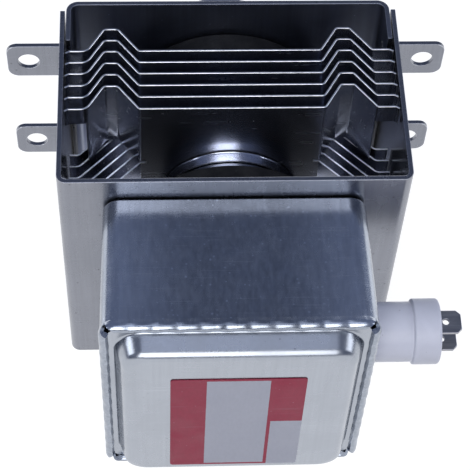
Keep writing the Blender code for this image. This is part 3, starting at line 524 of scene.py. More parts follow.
class EffectGroups:
    """Shared surface effects as shader node groups. Each gives one mask, value or normal."""

    def __init__(self) -> None:
        """Builds every group once."""
        self.grain = self._grain()
        self.specks = self._specks()
        self.scratches = self._scratches()
        self.smudges = self._smudges()
        self.edge_wear = self._edge_wear()
        self.dust = self._dust()
        self.relief = self._relief()
        self.painted_sheen = self._painted_sheen()
        self.panel = self._panel()

    @staticmethod
    def _group(name: str, **inputs) -> tuple[Graph, dict[str, NodeSocket]]:
        """Starts a group with a Vector input and others.

        Args:
            name: Name of the group.
            **inputs: Default of each other input by name, with _ for a space; a triple makes a vector input.

        Returns:
            The graph, and the sockets of the inputs by name.
        """
        tree = bpy.data.node_groups.new(name, "ShaderNodeTree")
        tree.interface.new_socket("Vector", in_out="INPUT", socket_type="NodeSocketVector")
        for key, default in inputs.items():
            kind = "NodeSocketVector" if isinstance(default, tuple) else "NodeSocketFloat"
            socket = tree.interface.new_socket(key.replace("_", " "), in_out="INPUT", socket_type=kind)
            socket.default_value = default
        entry = tree.nodes.new("NodeGroupInput")
        return Graph(tree), {socket.name: socket for socket in entry.outputs}

    @staticmethod
    def _close(graph: Graph, result: NodeSocket, output: str = "Mask", kind: str = "NodeSocketFloat") -> NodeTree:
        """Ends a group with one named output and gives its tree."""
        graph.tree.interface.new_socket(output, in_out="OUTPUT", socket_type=kind)
        graph.node("NodeGroupOutput", {output: result})
        return graph.tree

    def _grain(self) -> NodeTree:
        """Long fine lines left by rolling or brushing."""
        graph, given = self._group("rolled grain", Scale=900.0, Stretch=(1.0, 0.03, 1.0), Contrast=2.0)
        spot = graph.vector("MULTIPLY", given["Vector"], given["Stretch"])
        fine = graph.noise(spot, given["Scale"], 4.0, 0.62)
        return self._close(graph, graph.contrasted(fine, given["Contrast"]), "Value")

    def _specks(self) -> NodeTree:
        """Scattered small spots of uneven size."""
        graph, given = self._group("specks", Scale=900.0, Amount=0.1, Size=0.3)
        cells = graph.node("ShaderNodeTexVoronoi", {"Vector": given["Vector"], "Scale": given["Scale"]})
        parts = graph.node("ShaderNodeSeparateColor", {0: cells.outputs["Color"]})
        chosen = graph.math("LESS_THAN", parts.outputs[0], given["Amount"])
        reach = graph.plus(graph.times(given["Size"], parts.outputs[1]), 0.02)
        near = graph.minus(1.0, graph.math("DIVIDE", cells.outputs["Distance"], reach), clamp=True)
        return self._close(graph, graph.times(chosen, graph.math("SQRT", near)))

    def _scratches(self) -> NodeTree:
        """Short handling scratches in three directions."""
        graph, given = self._group("scratches", Scale=60.0, Amount=0.3)
        total = None
        for turn, tilt, limit in ((0.5, 0.2, 0.69), (1.9, -0.4, 0.71), (2.7, 0.7, 0.70)):
            spun = graph.node("ShaderNodeMapping", {"Vector": given["Vector"], "Rotation": (tilt, tilt * 2, turn),
                                                    "Scale": (1.0, 40.0, 14.0), "Location": (turn, tilt, 0.3)})
            line = graph.noise(spun.outputs[0], given["Scale"], 1.0)
            thin = graph.remap(line, limit, limit + 0.05)
            total = thin if total is None else graph.math("MAXIMUM", total, thin)
        return self._close(graph, graph.times(total, given["Amount"], clamp=True))

    def _smudges(self) -> NodeTree:
        """Soft uneven patches from handling."""
        graph, given = self._group("smudges", Scale=80.0, Contrast=2.0)
        wide = graph.noise(given["Vector"], given["Scale"], 3.0, 0.55, 0.6)
        return self._close(graph, graph.contrasted(wide, given["Contrast"]), "Value")

    def _edge_wear(self) -> NodeTree:
        """Mask of edges that wore bright, broken up by noise."""
        graph, given = self._group("edge wear", Radius=0.0005, Breakup_Scale=500.0, Amount=0.5)
        soft = graph.node("ShaderNodeBevel", {"Radius": given["Radius"]}, samples=4).outputs[0]
        true = graph.node("ShaderNodeNewGeometry").outputs["Normal"]
        together = graph.node("ShaderNodeVectorMath", {0: soft, 1: true}, operation="DOT_PRODUCT").outputs["Value"]
        edge = graph.remap(together, 0.995, 0.85)
        breakup = graph.remap(graph.noise(given["Vector"], given["Breakup Scale"], 2.0), 0.38, 0.62)
        return self._close(graph, graph.times(graph.times(edge, breakup), given["Amount"], clamp=True))

    def _dust(self) -> NodeTree:
        """Fine dust on faces that look up."""
        graph, given = self._group("dust", Scale=300.0, Amount=0.2)
        height = graph.part_of(graph.node("ShaderNodeNewGeometry").outputs["Normal"], 2)
        patchy = graph.remap(graph.noise(given["Vector"], given["Scale"], 5.0, 0.7), 0.42, 0.72)
        laid = graph.times(graph.remap(height, 0.3, 0.95), patchy)
        return self._close(graph, graph.times(laid, given["Amount"], clamp=True))

    def _relief(self) -> NodeTree:
        """Fine and broad unevenness of a surface as a normal."""
        graph, given = self._group("relief", Fine_Scale=2000.0, Fine_Depth=0.00001, Broad_Scale=60.0,
                                   Broad_Depth=0.00005)
        fine = graph.noise(given["Vector"], given["Fine Scale"], 3.0)
        broad = graph.noise(given["Vector"], given["Broad Scale"], 1.0)
        height = graph.plus(graph.times(fine, given["Fine Depth"]), graph.times(broad, given["Broad Depth"]))
        bump = graph.node("ShaderNodeBump", {"Height": height, "Strength": 1.0, "Distance": 1.0})
        return self._close(graph, bump.outputs[0], "Normal", "NodeSocketVector")

    def _painted_sheen(self) -> NodeTree:
        """Mask of painted sheen: streaky brightening on upper and lower faces, growing toward both sides, that
        stands in for reflected side light.
        """
        graph, given = self._group("painted_sheen", Inner=0.008, Outer=0.031, Amount=0.5)
        streak = graph.noise(graph.vector("MULTIPLY", given["Vector"], (1.0, 0.08, 0.6)), 420.0, 4.0, 0.7)
        side = graph.math("ABSOLUTE", graph.part_of(given["Vector"], 0))
        share = graph.remap(side, given["Inner"], given["Outer"], kind="SMOOTHSTEP")
        uneven = graph.times(share, graph.remap(streak, 0.25, 0.75, 0.45, 1.3))
        facing = graph.part_of(graph.node("ShaderNodeTexCoord").outputs["Normal"], 2)
        level = graph.remap(graph.math("ABSOLUTE", facing), 0.45, 0.8)
        return self._close(graph, graph.times(graph.times(uneven, level), given["Amount"], clamp=True))

    def _panel(self) -> NodeTree:
        """Mask of one printed field on a label, with slightly uneven print edges."""
        graph, given = self._group("printed field", Low=(0.0, 0.0, 0.0), High=(0.01, 0.0, 0.01), Softness=0.00006)
        noise = graph.node("ShaderNodeTexNoise", {"Vector": given["Vector"], "Scale": 2500.0, "Detail": 2.0})
        stir = graph.vector("SCALE", graph.vector("SUBTRACT", noise.outputs["Color"], (0.5, 0.5, 0.5)))
        stir.node.inputs["Scale"].default_value = 0.00018
        spot = graph.vector("ADD", given["Vector"], stir)
        inside = None
        for axis in (0, 2):
            here, low, high = (graph.part_of(vector, axis) for vector in (spot, given["Low"], given["High"]))
            up = graph.math("DIVIDE", graph.minus(here, low), given["Softness"], clamp=True)
            down = graph.math("DIVIDE", graph.minus(high, here), given["Softness"], clamp=True)
            both = graph.times(up, down)
            inside = both if inside is None else graph.times(inside, both)
        return self._close(graph, inside)


class Coat:
    """A material under construction, with the shared effects at hand."""

    def __init__(self, groups: EffectGroups, name: str) -> None:
        """Starts a material.

        Args:
            groups: The shared effects.
            name: Name of the material.
        """
        self.groups = groups
        self.material = bpy.data.materials.new(name)
        self.graph = emptied(self.material)
        self.shader = self.graph.node("ShaderNodeBsdfPrincipled")
        self.graph.node("ShaderNodeOutputMaterial", {"Surface": self.shader.outputs[0]})
        self.spot = self.graph.node("ShaderNodeTexCoord").outputs["Object"]

    def effect(self, name: str, **values) -> NodeSocket:
        """Adds a shared effect.

        Args:
            name: Name of the effect in EffectGroups.
            **values: Its inputs by name, with _ for a space.

        Returns:
            The effect's output.
        """
        wires = {"Vector": self.spot}
        wires.update({key.replace("_", " "): value for key, value in values.items()})
        return self.graph.node("ShaderNodeGroup", wires, node_tree=getattr(self.groups, name)).outputs[0]

    def dusted(self, colour: NodeSocket, amount: float) -> tuple[NodeSocket, NodeSocket]:
        """Lays dust on a colour, and gives the new colour and the dust's mask."""
        laid = self.effect("dust", Amount=amount)
        return self.graph.mix(laid, colour, DUST_COLOUR), laid

    def finished(self, colour: NodeSocket, rough: NodeSocket, relief: tuple[float, float]) -> Material:
        """Wires colour, roughness and relief (fine and broad depth in millimetres), and gives the material."""
        normal = self.effect("relief", Fine_Depth=relief[0] * MM, Broad_Depth=relief[1] * MM)
        for name, socket in (("Base Color", colour), ("Roughness", rough), ("Normal", normal)):
            self.graph.feed(socket, self.shader.inputs[name])
        return self.material


def shade(colour: Colour, factor: float) -> Colour:
    """A colour made darker or lighter."""
    return tuple(channel * factor for channel in colour)


@dataclass(frozen=True)
class Metal:
    """A bare or plated metal.

    Args:
        name: Name of the material.
        colour: Base colour, linear.
        roughness: Middle roughness.
        stretch: Direction of the grain, small along it.
        grain: Strength of the grain in colour and roughness.
        specks: Share of cells with a speck.
        speck_tone: Brightness of the specks against the base.
        scratches: Strength of handling scratches.
        smudges: Strength of soft patches in the roughness.
        wear: Strength of bright edges.
        dust: Strength of dust on faces that look up.
        relief: Depth of fine and broad unevenness in millimetres.
        painted_sheen: Strength of the painted sheen, a brightening toward both sides of upper and lower faces.
    """

    name: str
    colour: Colour
    roughness: float
    stretch: tuple[float, float, float] = (1.0, 0.03, 1.0)
    grain: float = 0.2
    specks: float = 0.05
    speck_tone: float = 0.35
    scratches: float = 0.2
    smudges: float = 0.06
    wear: float = 0.3
    dust: float = 0.1
    relief: tuple[float, float] = (0.002, 0.02)
    painted_sheen: float = 0.0

    PATCH_SHARE = 0.22
    PATCH_TONE = 0.78
    SPECK_SHARE = 0.7
    PAINTED_SHEEN_TONE = 2.0
    SCRATCH_SHARE = 0.5
    SCRATCH_TONE = 1.5
    SCRATCH_ROUGHNESS = 0.12
    GRAIN_ROUGHNESS = 0.25
    GRAIN_OFFSET = 0.12
    WORN_TONE = 1.45
    WORN_SMOOTHNESS = 0.08
    DUST_ROUGHNESS = 0.35
    DUST_DULLNESS = 0.8

    def build(self, groups: EffectGroups) -> Material:
        """Builds the material."""
        coat = Coat(groups, self.name)
        graph = coat.graph
        grain = coat.effect("grain", Stretch=self.stretch)
        colour = graph.mix(grain, shade(self.colour, 1 - self.grain), shade(self.colour, 1 + self.grain))
        patches = coat.effect("smudges")
        colour = graph.mix(graph.times(patches, self.PATCH_SHARE), colour, shade(self.colour, self.PATCH_TONE))
        dots = coat.effect("specks", Amount=self.specks)
        colour = graph.mix(graph.times(dots, self.SPECK_SHARE), colour, shade(self.colour, self.speck_tone))
        # Painted sheen: upper and lower faces are brightened toward both sides in place of reflected side light.
        if self.painted_sheen > 0:
            painted_sheen_mask = coat.effect("painted_sheen", Amount=self.painted_sheen)
            colour = graph.mix(painted_sheen_mask, colour, shade(self.colour, self.PAINTED_SHEEN_TONE))
        lines = coat.effect("scratches", Amount=self.scratches)
        colour = graph.mix(graph.times(lines, self.SCRATCH_SHARE), colour, shade(self.colour, self.SCRATCH_TONE))
        rough = graph.plus(graph.times(grain, self.grain * self.GRAIN_ROUGHNESS),
                           self.roughness - self.grain * self.GRAIN_OFFSET)
        rough = graph.plus(rough, graph.times(graph.minus(patches, 0.5), self.smudges * 2))
        rough = graph.plus(rough, graph.times(lines, self.SCRATCH_ROUGHNESS), clamp=True)
        if self.wear > 0:
            worn = coat.effect("edge_wear", Amount=self.wear)
            colour = graph.mix(worn, colour, tuple(min(1.0, c * self.WORN_TONE) for c in self.colour))
            rough = graph.minus(rough, graph.times(worn, self.WORN_SMOOTHNESS), clamp=True)
        colour, laid = coat.dusted(colour, self.dust)
        rough = graph.plus(rough, graph.times(laid, self.DUST_ROUGHNESS), clamp=True)
        metallic = graph.minus(1.0, graph.times(laid, self.DUST_DULLNESS))
        graph.feed(metallic, coat.shader.inputs["Metallic"])
        return coat.finished(colour, rough, self.relief)


@dataclass(frozen=True)
class Mineral:
    """Ceramic, ferrite, moulded plastic or another plain material.

    Args:
        name: Name of the material.
        colour: Base colour, linear.
        roughness: Middle roughness.
        mottle: Strength of soft colour patches.
        specks: Share of cells with a speck.
        speck_colour: Colour of the specks.
        wear: Strength of worn edges.
        wear_colour: Colour of the worn edges.
        dust: Strength of dust.
        relief: Depth of fine and broad unevenness in millimetres.
        specular: Specular level.
    """

    name: str
    colour: Colour
    roughness: float
    mottle: float = 0.15
    specks: float = 0.05
    speck_colour: Colour = (0.1, 0.1, 0.1)
    wear: float = 0.2
    wear_colour: Colour = (0.5, 0.5, 0.5)
    dust: float = 0.1
    relief: tuple[float, float] = (0.004, 0.02)
    specular: float = 0.5

    PATCH_SCALE = 160.0
    PATCH_ROUGHNESS = 0.14
    SPECK_SCALE = 1300.0
    SPECK_SHARE = 0.6
    DUST_ROUGHNESS = 0.3

    def build(self, groups: EffectGroups) -> Material:
        """Builds the material."""
        coat = Coat(groups, self.name)
        graph = coat.graph
        patches = coat.effect("smudges", Scale=self.PATCH_SCALE)
        colour = graph.mix(patches, shade(self.colour, 1 - self.mottle), shade(self.colour, 1 + self.mottle))
        dots = coat.effect("specks", Amount=self.specks, Scale=self.SPECK_SCALE)
        colour = graph.mix(graph.times(dots, self.SPECK_SHARE), colour, self.speck_colour)
        rough = graph.plus(graph.times(graph.minus(patches, 0.5), self.PATCH_ROUGHNESS), self.roughness)
        if self.wear > 0:
            colour = graph.mix(coat.effect("edge_wear", Amount=self.wear), colour, self.wear_colour)
        colour, laid = coat.dusted(colour, self.dust)
        rough = graph.plus(rough, graph.times(laid, self.DUST_ROUGHNESS), clamp=True)
        coat.shader.inputs["Specular IOR Level"].default_value = self.specular
        return coat.finished(colour, rough, self.relief)


@dataclass(frozen=True)
class PrintedSheet:
    """White label stock with plain printed fields.

    Args:
        name: Name of the material.
        paper: Colour of the stock, linear.
        ink: Colour of the printed fields, linear.
        fields: Low and high corner (x, z) of each printed field, in millimetres in the tube's own frame.
        specular: Specular level.
        relief: Depth of fine and broad unevenness in millimetres.
    """

    name: str
    paper: Colour
    ink: Colour
    fields: tuple[tuple[Point2, Point2], ...]
    specular: float = 0.3
    relief: tuple[float, float] = (0.0015, 0.03)

    PAPER_TONES = (0.94, 1.05)
    INK_TONES = (0.85, 1.12)
    PINHOLE_SHARE = 0.6
    RUB_SHARE = 0.3
    RUB_TONE = 0.8
    DUST = 0.1
    LEAST_ROUGHNESS = 0.38
    PATCH_ROUGHNESS = 0.16

    def build(self, groups: EffectGroups) -> Material:
        """Builds the material."""
        coat = Coat(groups, self.name)
        graph = coat.graph
        printed = None
        for low, high in self.fields:
            one = coat.effect("panel", Low=(low[0] * MM, 0.0, low[1] * MM), High=(high[0] * MM, 0.0, high[1] * MM))
            printed = one if printed is None else graph.math("MAXIMUM", printed, one)
        fibres = coat.effect("grain", Scale=1500.0, Stretch=(1.0, 1.0, 0.4), Contrast=1.4)
        paper, ink = (graph.mix(fibres, shade(tint, dark), shade(tint, light))
                      for tint, (dark, light) in ((self.paper, self.PAPER_TONES), (self.ink, self.INK_TONES)))
        pinholes = coat.effect("specks", Scale=2200.0, Amount=0.04, Size=0.3)
        printed = graph.times(printed, graph.minus(1.0, graph.times(pinholes, self.PINHOLE_SHARE)))
        colour = graph.mix(printed, paper, ink)
        rub = coat.effect("scratches", Amount=0.2)
        colour = graph.mix(graph.times(rub, self.RUB_SHARE), colour, shade(self.paper, self.RUB_TONE))
        colour, _ = coat.dusted(colour, self.DUST)
        patches = coat.effect("smudges", Scale=120.0)
        rough = graph.plus(graph.times(patches, self.PATCH_ROUGHNESS), self.LEAST_ROUGHNESS)
        coat.shader.inputs["Specular IOR Level"].default_value = self.specular
        return coat.finished(colour, rough, self.relief)


class Finishes:
    """Every finish of the magnetron, built once."""

    def __init__(self, groups: EffectGroups, label_fields: tuple[tuple[Point2, Point2], ...]) -> None:
        """Builds the finishes.

        Args:
            groups: The shared effects.
            label_fields: Printed fields of the label.
        """
        upright = (1.0, 1.0, 0.03)
        self.zinc = Metal("zinc plated sheet", (0.26, 0.27, 0.305), 0.27, stretch=upright, grain=0.08,
                          specks=0.10, smudges=0.05, wear=0.2, dust=0.05).build(groups)
        # Painted shade: a much darker copy of the zinc finish for the bracket's inner faces, standing in for the
        # shade inside the duct.
        self.zinc_painted_shade = Metal("zinc sheet inner face", (0.09, 0.097, 0.122), 0.24, stretch=upright, grain=0.1,
                                specks=0.06, speck_tone=2.2, smudges=0.03, wear=0, dust=0.02,
                                relief=(0.0, 0.008)).build(groups)
        # Painted light: a lighter, bluer copy of the zinc finish for the output plate's inner face, standing in
        # for the light it shows inside the duct.
        self.zinc_painted_light = Metal("zinc sheet far face", (0.33, 0.36, 0.46), 0.34, stretch=upright, grain=0.1,
                              specks=0.06, speck_tone=2.2, smudges=0.03, wear=0, dust=0.02,
                              relief=(0.0, 0.008)).build(groups)
        self.zinc_edge = Metal("zinc sheet cut edge", (0.46, 0.47, 0.51), 0.30, stretch=upright, wear=0,
                               dust=0.05).build(groups)
        # The box's upper and lower faces get painted sheen that brightens them toward both sides.
        self.box = Metal("drawn box sheet", (0.33, 0.36, 0.415), 0.25, stretch=(1.0, 0.35, 1.0), grain=0.22,
                         specks=0.34, speck_tone=2.1, scratches=0.4, smudges=0.05, wear=0.25, dust=0.04,
                         painted_sheen=0.8).build(groups)
        self.cover = Metal("pressed cover sheet", (0.395, 0.42, 0.465), 0.27, stretch=upright, grain=0.05,
                           specks=0.05, wear=0.25, dust=0.04).build(groups)
        self.fin = Metal("rolled aluminium sheet", (0.60, 0.63, 0.74), 0.25, stretch=upright, grain=0.05,
                         specks=0.02, speck_tone=2.0, scratches=0.2, smudges=0.02, wear=0, dust=0.02,
                         relief=(0.0, 0.006)).build(groups)
        self.collar = Metal("drawn aluminium collar", (0.66, 0.69, 0.78), 0.20, grain=0.06, specks=0.03,
                            scratches=0.2, wear=0, dust=0.02, relief=(0.0, 0.006)).build(groups)
        self.fin_edge = Metal("aluminium cut edge", (0.84, 0.86, 0.90), 0.33, stretch=(1.0, 1.0, 1.0), grain=0.35,
                              specks=0.25, wear=0, dust=0.03).build(groups)
        # The plated shell's colour is darkened below the plating's own as painted shade for the shaded duct round
        # the anode.
        self.plated = Metal("plated anode shell", (0.30, 0.32, 0.38), 0.2, grain=0.06, specks=0.03, scratches=0.1,
                            wear=0.1, dust=0.03, relief=(0.0, 0.004)).build(groups)
        self.bright = Metal("bright steel", (0.62, 0.62, 0.65), 0.20, grain=0.12, wear=0.25).build(groups)
        self.copper = Metal("copper", (0.72, 0.40, 0.26), 0.32, grain=0.14, specks=0.1, wear=0.2).build(groups)
        self.iron = Metal("soft iron", (0.36, 0.36, 0.37), 0.42, grain=0.2, wear=0.1).build(groups)
        self.tungsten = Metal("carburised tungsten", (0.30, 0.30, 0.31), 0.5, grain=0.2, wear=0).build(groups)
        self.molybdenum = Metal("molybdenum", (0.46, 0.46, 0.48), 0.4, grain=0.15, wear=0).build(groups)
        self.mesh = Metal("knitted wire", (0.58, 0.58, 0.57), 0.34, stretch=(1.0, 1.0, 1.0), grain=0.15,
                          specks=0.1, wear=0, dust=0.2).build(groups)
        self.enamel = Metal("enamelled copper wire", (0.48, 0.17, 0.07), 0.28, grain=0.1, wear=0).build(groups)
        self.tinned = Metal("tinned blade", (0.34, 0.34, 0.36), 0.38, stretch=(0.2, 1.0, 1.0), grain=0.22,
                            specks=0.35, scratches=0.5, wear=0.5, dust=0.1).build(groups)
        self.tinned_edge = Metal("tinned blade edge", (0.60, 0.60, 0.64), 0.32, grain=0.2, specks=0.2,
                                 wear=0).build(groups)
        self.ferrite = Mineral("ferrite", (0.010, 0.010, 0.011), 0.5, mottle=0.3, specks=0.12,
                               speck_colour=(0.035, 0.035, 0.04), wear=0.4, wear_colour=(0.04, 0.04, 0.045),
                               dust=0.03, specular=0.2).build(groups)
        self.ferrite_rod = Mineral("ferrite rod", (0.03, 0.03, 0.033), 0.45, wear=0.3,
                                   wear_colour=(0.09, 0.09, 0.1)).build(groups)
        self.stem = Mineral("stem alumina", (0.78, 0.76, 0.72), 0.4, mottle=0.05, wear=0.1,
                            wear_colour=(0.6, 0.58, 0.54)).build(groups)
        self.output = Mineral("output alumina", (0.72, 0.46, 0.46), 0.36, mottle=0.08, specks=0.1,
                              speck_colour=(0.4, 0.22, 0.22), wear=0.15, wear_colour=(0.6, 0.5, 0.5)).build(groups)
        self.case = Mineral("moulded case", (0.71, 0.72, 0.81), 0.34, mottle=0.04, specks=0.05,
                            speck_colour=(0.35, 0.35, 0.42), wear=0.2, wear_colour=(0.75, 0.75, 0.85),
                            dust=0.06).build(groups)
        self.label = PrintedSheet("printed label", (0.50, 0.51, 0.58), (0.33, 0.014, 0.052),
                                  label_fields).build(groups)


# Pieces


def channel(half_width: float, back: float, ends: float, sheet: float, bend: float) -> list[Point2]:
    """Section of a plate with both sides folded over.

    Args:
        half_width: Half width outside.
        back: Y of the plate's outer face.
        ends: Y of the folded sides' ends.
        sheet: Thickness of the sheet.
        bend: Outer radius of the folds.

    Returns:
        The outline in the X-Y plane.
    """
    w, t = half_width, sheet
    inner = back + math.copysign(t, ends - back)
    corners = [(-w, ends), (-w, back), (w, back), (w, ends), (w - t, ends), (w - t, inner), (-w + t, inner),
               (-w + t, ends)]
    return rounded(corners, [0, bend, bend, 0, 0, bend - t, bend - t, 0], steps=9)


def mark_inner(bm: BMesh, facing: int, half_width: float, low: float, high: float) -> None:
    """Gives the inner faces of a folded plate material index 2, where the bracket takes a darker copy of its
    finish as painted shade and the output plate a lighter one as painted light.

    Args:
        bm: The plate.
        facing: 1 for a plate whose inner face looks along +Y, -1 for the other way.
        half_width: Half width of the plate outside.
        low: Faces with their middle below this Y stay as they are.
        high: Faces with their middle above this Y stay as they are.
    """
    for face in bm.faces:
        middle = face.calc_center_median()
        inward = facing * face.normal.y > INWARD or middle.x * face.normal.x < -INWARD * abs(middle.x)
        inside = abs(middle.x) < half_width and low < middle.y < high
        if face.material_index == 0 and inward and inside:
            face.material_index = 2


@dataclass
class YokeBracket:
    """U bracket folded from one sheet: input plate, side walls and four mounting tabs."""

    half_width: float = 42.0
    low: float = 0.005
    height: float = 79.99
    depth: float = 52.2
    sheet: float = 1.2
    bend: float = 2.4
    tab_reach: float = 14.495
    tab_width: float = 11.8
    tab_corner: float = 2.8
    tab_fillet: float = 1.0
    tab_heights: tuple[float, float] = (27.5, 61.5)
    hole_radius: float = 2.75
    hole_inset: float = 5.5
    stem_hole: float = 10.4
    broken_edge: float = 0.16

    def tab(self, side: Side, height: float) -> BMesh:
        """One mounting tab with rounded outer corners and the fillet of its fold."""
        w, d, t = self.half_width, self.depth, self.sheet
        outer = w + self.tab_reach
        fold = arc((w + self.tab_fillet, d - t - self.tab_fillet), self.tab_fillet, 90, 180, 6)
        outline = [(w - t / 2, d), (outer, d), (outer, d - t), *fold, (w - t / 2, d - t - self.tab_fillet)]
        low = height - self.tab_width / 2
        bm = prism([(side.value * x, y, low) for x, y in outline], (0, 0, self.tab_width))
        corners = [e for e in bm.edges if all(abs(abs(v.co.x) - outer) < TOLERANCE for v in e.verts)
                   and abs(e.verts[0].co.z - e.verts[1].co.z) < TOLERANCE]
        bmesh.ops.bevel(bm, geom=corners, offset=self.tab_corner, segments=10, profile=0.5, affect="EDGES")
        bmesh.ops.recalc_face_normals(bm, faces=bm.faces)
        return bm

    def build(self, shop: Workshop, finishes: Finishes) -> None:
        """Builds the bracket."""
        outline = channel(self.half_width, 0, self.depth, self.sheet, self.bend)
        bm = prism([(x, y, self.low) for x, y in outline], (0, 0, self.height))
        tabs = [self.tab(side, z) for side in Side for z in self.tab_heights]
        hole_x = self.half_width + self.tab_reach - self.hole_inset
        cutters = [moved(pin(self.hole_radius, self.depth - 4, self.depth + 2, 56), side.value * hole_x, 0, z)
                   for side in Side for z in self.tab_heights]
        cutters.append(moved(pin(self.stem_hole, -2, 3, 72), 0, 0, AXIS_Z))
        cutters += BoxRivets().cutters(-2, 3) + YokeRivets().cutters(39, 44)
        bm = eased(carved(bm, cutters, tabs), self.broken_edge)
        # The inner faces take the darker zinc copy as painted shade.
        mark_inner(bm, 1, self.half_width, -1, self.depth - 0.01)
        shop.piece("bracket", bm, [finishes.zinc, finishes.zinc_edge, finishes.zinc_painted_shade],
                   ["yoke_bracket"])


@dataclass
class OutputPlate:
    """Plate on the antenna side with flanges folded in between the side walls."""

    half_width: float = 40.5
    low: float = 0.005
    height: float = 79.99
    outer_y: float = 55.2
    flange: float = 12.5
    sheet: float = 1.2
    bend: float = 3.0
    hole: float = 10.4
    broken_edge: float = 0.16

    def build(self, shop: Workshop, finishes: Finishes) -> None:
        """Builds the plate."""
        y, end = self.outer_y, self.outer_y - self.flange
        outline = channel(self.half_width, y, end, self.sheet, self.bend)
        bm = prism([(px, py, self.low) for px, py in outline], (0, 0, self.height))
        cutters = [moved(pin(self.hole, y - 3, y + 2, 72), 0, 0, AXIS_Z), *YokeRivets().cutters(37, 43)]
        bm = eased(carved(bm, cutters), self.broken_edge)
        # The inner faces take the lighter zinc copy as painted light.
        mark_inner(bm, -1, self.half_width, end + 0.01, y)
        shop.piece("output_plate", bm, [finishes.zinc, finishes.zinc_edge, finishes.zinc_painted_light],
                   ["yoke_output_plate"])


class Repeater:
    """Geometry Nodes tree that puts a mesh at every vertex of a pattern."""

    def __init__(self) -> None:
        """Builds the tree: instances on points, turned by a stored direction, then realised."""
        tree = bpy.data.node_groups.new("repeat at places", "GeometryNodeTree")
        for label, kind in (("Geometry", "Geometry"), ("Part", "Object"), ("Turn Jitter", "Float"),
                            ("Seed", "Int"), ("Finish", "Material"), ("Edge Finish", "Material")):
            tree.interface.new_socket(label, in_out="INPUT", socket_type="NodeSocket" + kind)
        tree.interface.new_socket("Geometry", in_out="OUTPUT", socket_type="NodeSocketGeometry")
        graph = Graph(tree)
        given = graph.node("NodeGroupInput").outputs
        source = graph.node("GeometryNodeObjectInfo", {"Object": given["Part"]}, transform_space="ORIGINAL")
        ahead, across, cut = (
            graph.node("GeometryNodeInputNamedAttribute", {"Name": label}, data_type=kind).outputs[0]
            for label, kind in (("ahead", "FLOAT_VECTOR"), ("across", "FLOAT_VECTOR"), ("cut_edge", "BOOLEAN")))
        first = graph.node("FunctionNodeAlignRotationToVector", {"Vector": ahead}, axis="Y")
        second = graph.node("FunctionNodeAlignRotationToVector", {"Rotation": first.outputs[0], "Vector": across},
                            axis="X", pivot_axis="Y")
        jitter = given["Turn Jitter"]
        spin = graph.node("FunctionNodeRandomValue", {2: graph.times(jitter, -1.0), 3: jitter,
                                                      "Seed": given["Seed"]}, data_type="FLOAT")
        angle = graph.node("ShaderNodeCombineXYZ", {1: spin.outputs[1]})
        turned = graph.node("FunctionNodeRotateRotation", {"Rotation": second.outputs[0],
                                                           "Rotate By": angle.outputs[0]}, rotation_space="LOCAL")
        copies = graph.node("GeometryNodeInstanceOnPoints",
                            {"Points": given["Geometry"], "Instance": source.outputs["Geometry"],
                             "Rotation": turned.outputs[0]})
        real = graph.node("GeometryNodeRealizeInstances", {"Geometry": copies.outputs[0]})
        coated = graph.node("GeometryNodeSetMaterial", {"Geometry": real.outputs[0], "Material": given["Finish"]})
        done = graph.node("GeometryNodeSetMaterial", {"Geometry": coated.outputs[0], "Selection": cut,
                                                      "Material": given["Edge Finish"]})
        graph.node("NodeGroupOutput", {0: done.outputs[0]})
        self.tree = tree

    def spread(self, places: list[Place], part: BMesh, finish: Material, edge_finish: Material,
               jitter: float = 0.0, seed: int = 3) -> Mesh:
        """Puts a part at every place.

        Args:
            places: Point, direction of the part's +Y and direction of its +X at each place.
            part: The part, built about the origin; faces of material index 1 are cut edges.
            finish: Its material.
            edge_finish: Material of its cut edges.
            jitter: Largest random turn about the part's Y axis, in radians.
            seed: Seed of the turns.

        Returns:
            One mesh with all copies; faces of cut edges have material index 1, all others 0.
        """
        pattern = bpy.data.meshes.new("pattern")
        pattern.from_pydata([tuple(point) for point, _, _ in places], [], [])
        for label, column in (("ahead", 1), ("across", 2)):
            layer = pattern.attributes.new(label, "FLOAT_VECTOR", "POINT")
            layer.data.foreach_set("vector", [c for place in places for c in place[column]])
        part_mesh = mesh_of(part, "part")
        layer = part_mesh.attributes.new("cut_edge", "BOOLEAN", "FACE")
        layer.data.foreach_set("value", [polygon.material_index == 1 for polygon in part_mesh.polygons])
        helper, base = placed(part_mesh), placed(pattern)
        step = base.modifiers.new("repeat", "NODES")
        step.node_group = self.tree
        values = {"Part": helper, "Turn Jitter": jitter, "Seed": seed, "Finish": finish,
                  "Edge Finish": edge_finish}
        for socket in self.tree.interface.items_tree:
            if socket.in_out == "INPUT" and socket.name in values:
                step[socket.identifier] = values[socket.name]
        mesh = evaluated(base)
        is_edge = [int(coat is not None and coat.name == edge_finish.name) for coat in mesh.materials]
        indices = [0] * len(mesh.polygons)
        mesh.polygons.foreach_get("material_index", indices)
        mesh.polygons.foreach_set("material_index", [is_edge[i] for i in indices])
        scrap(base, helper)
        return mesh


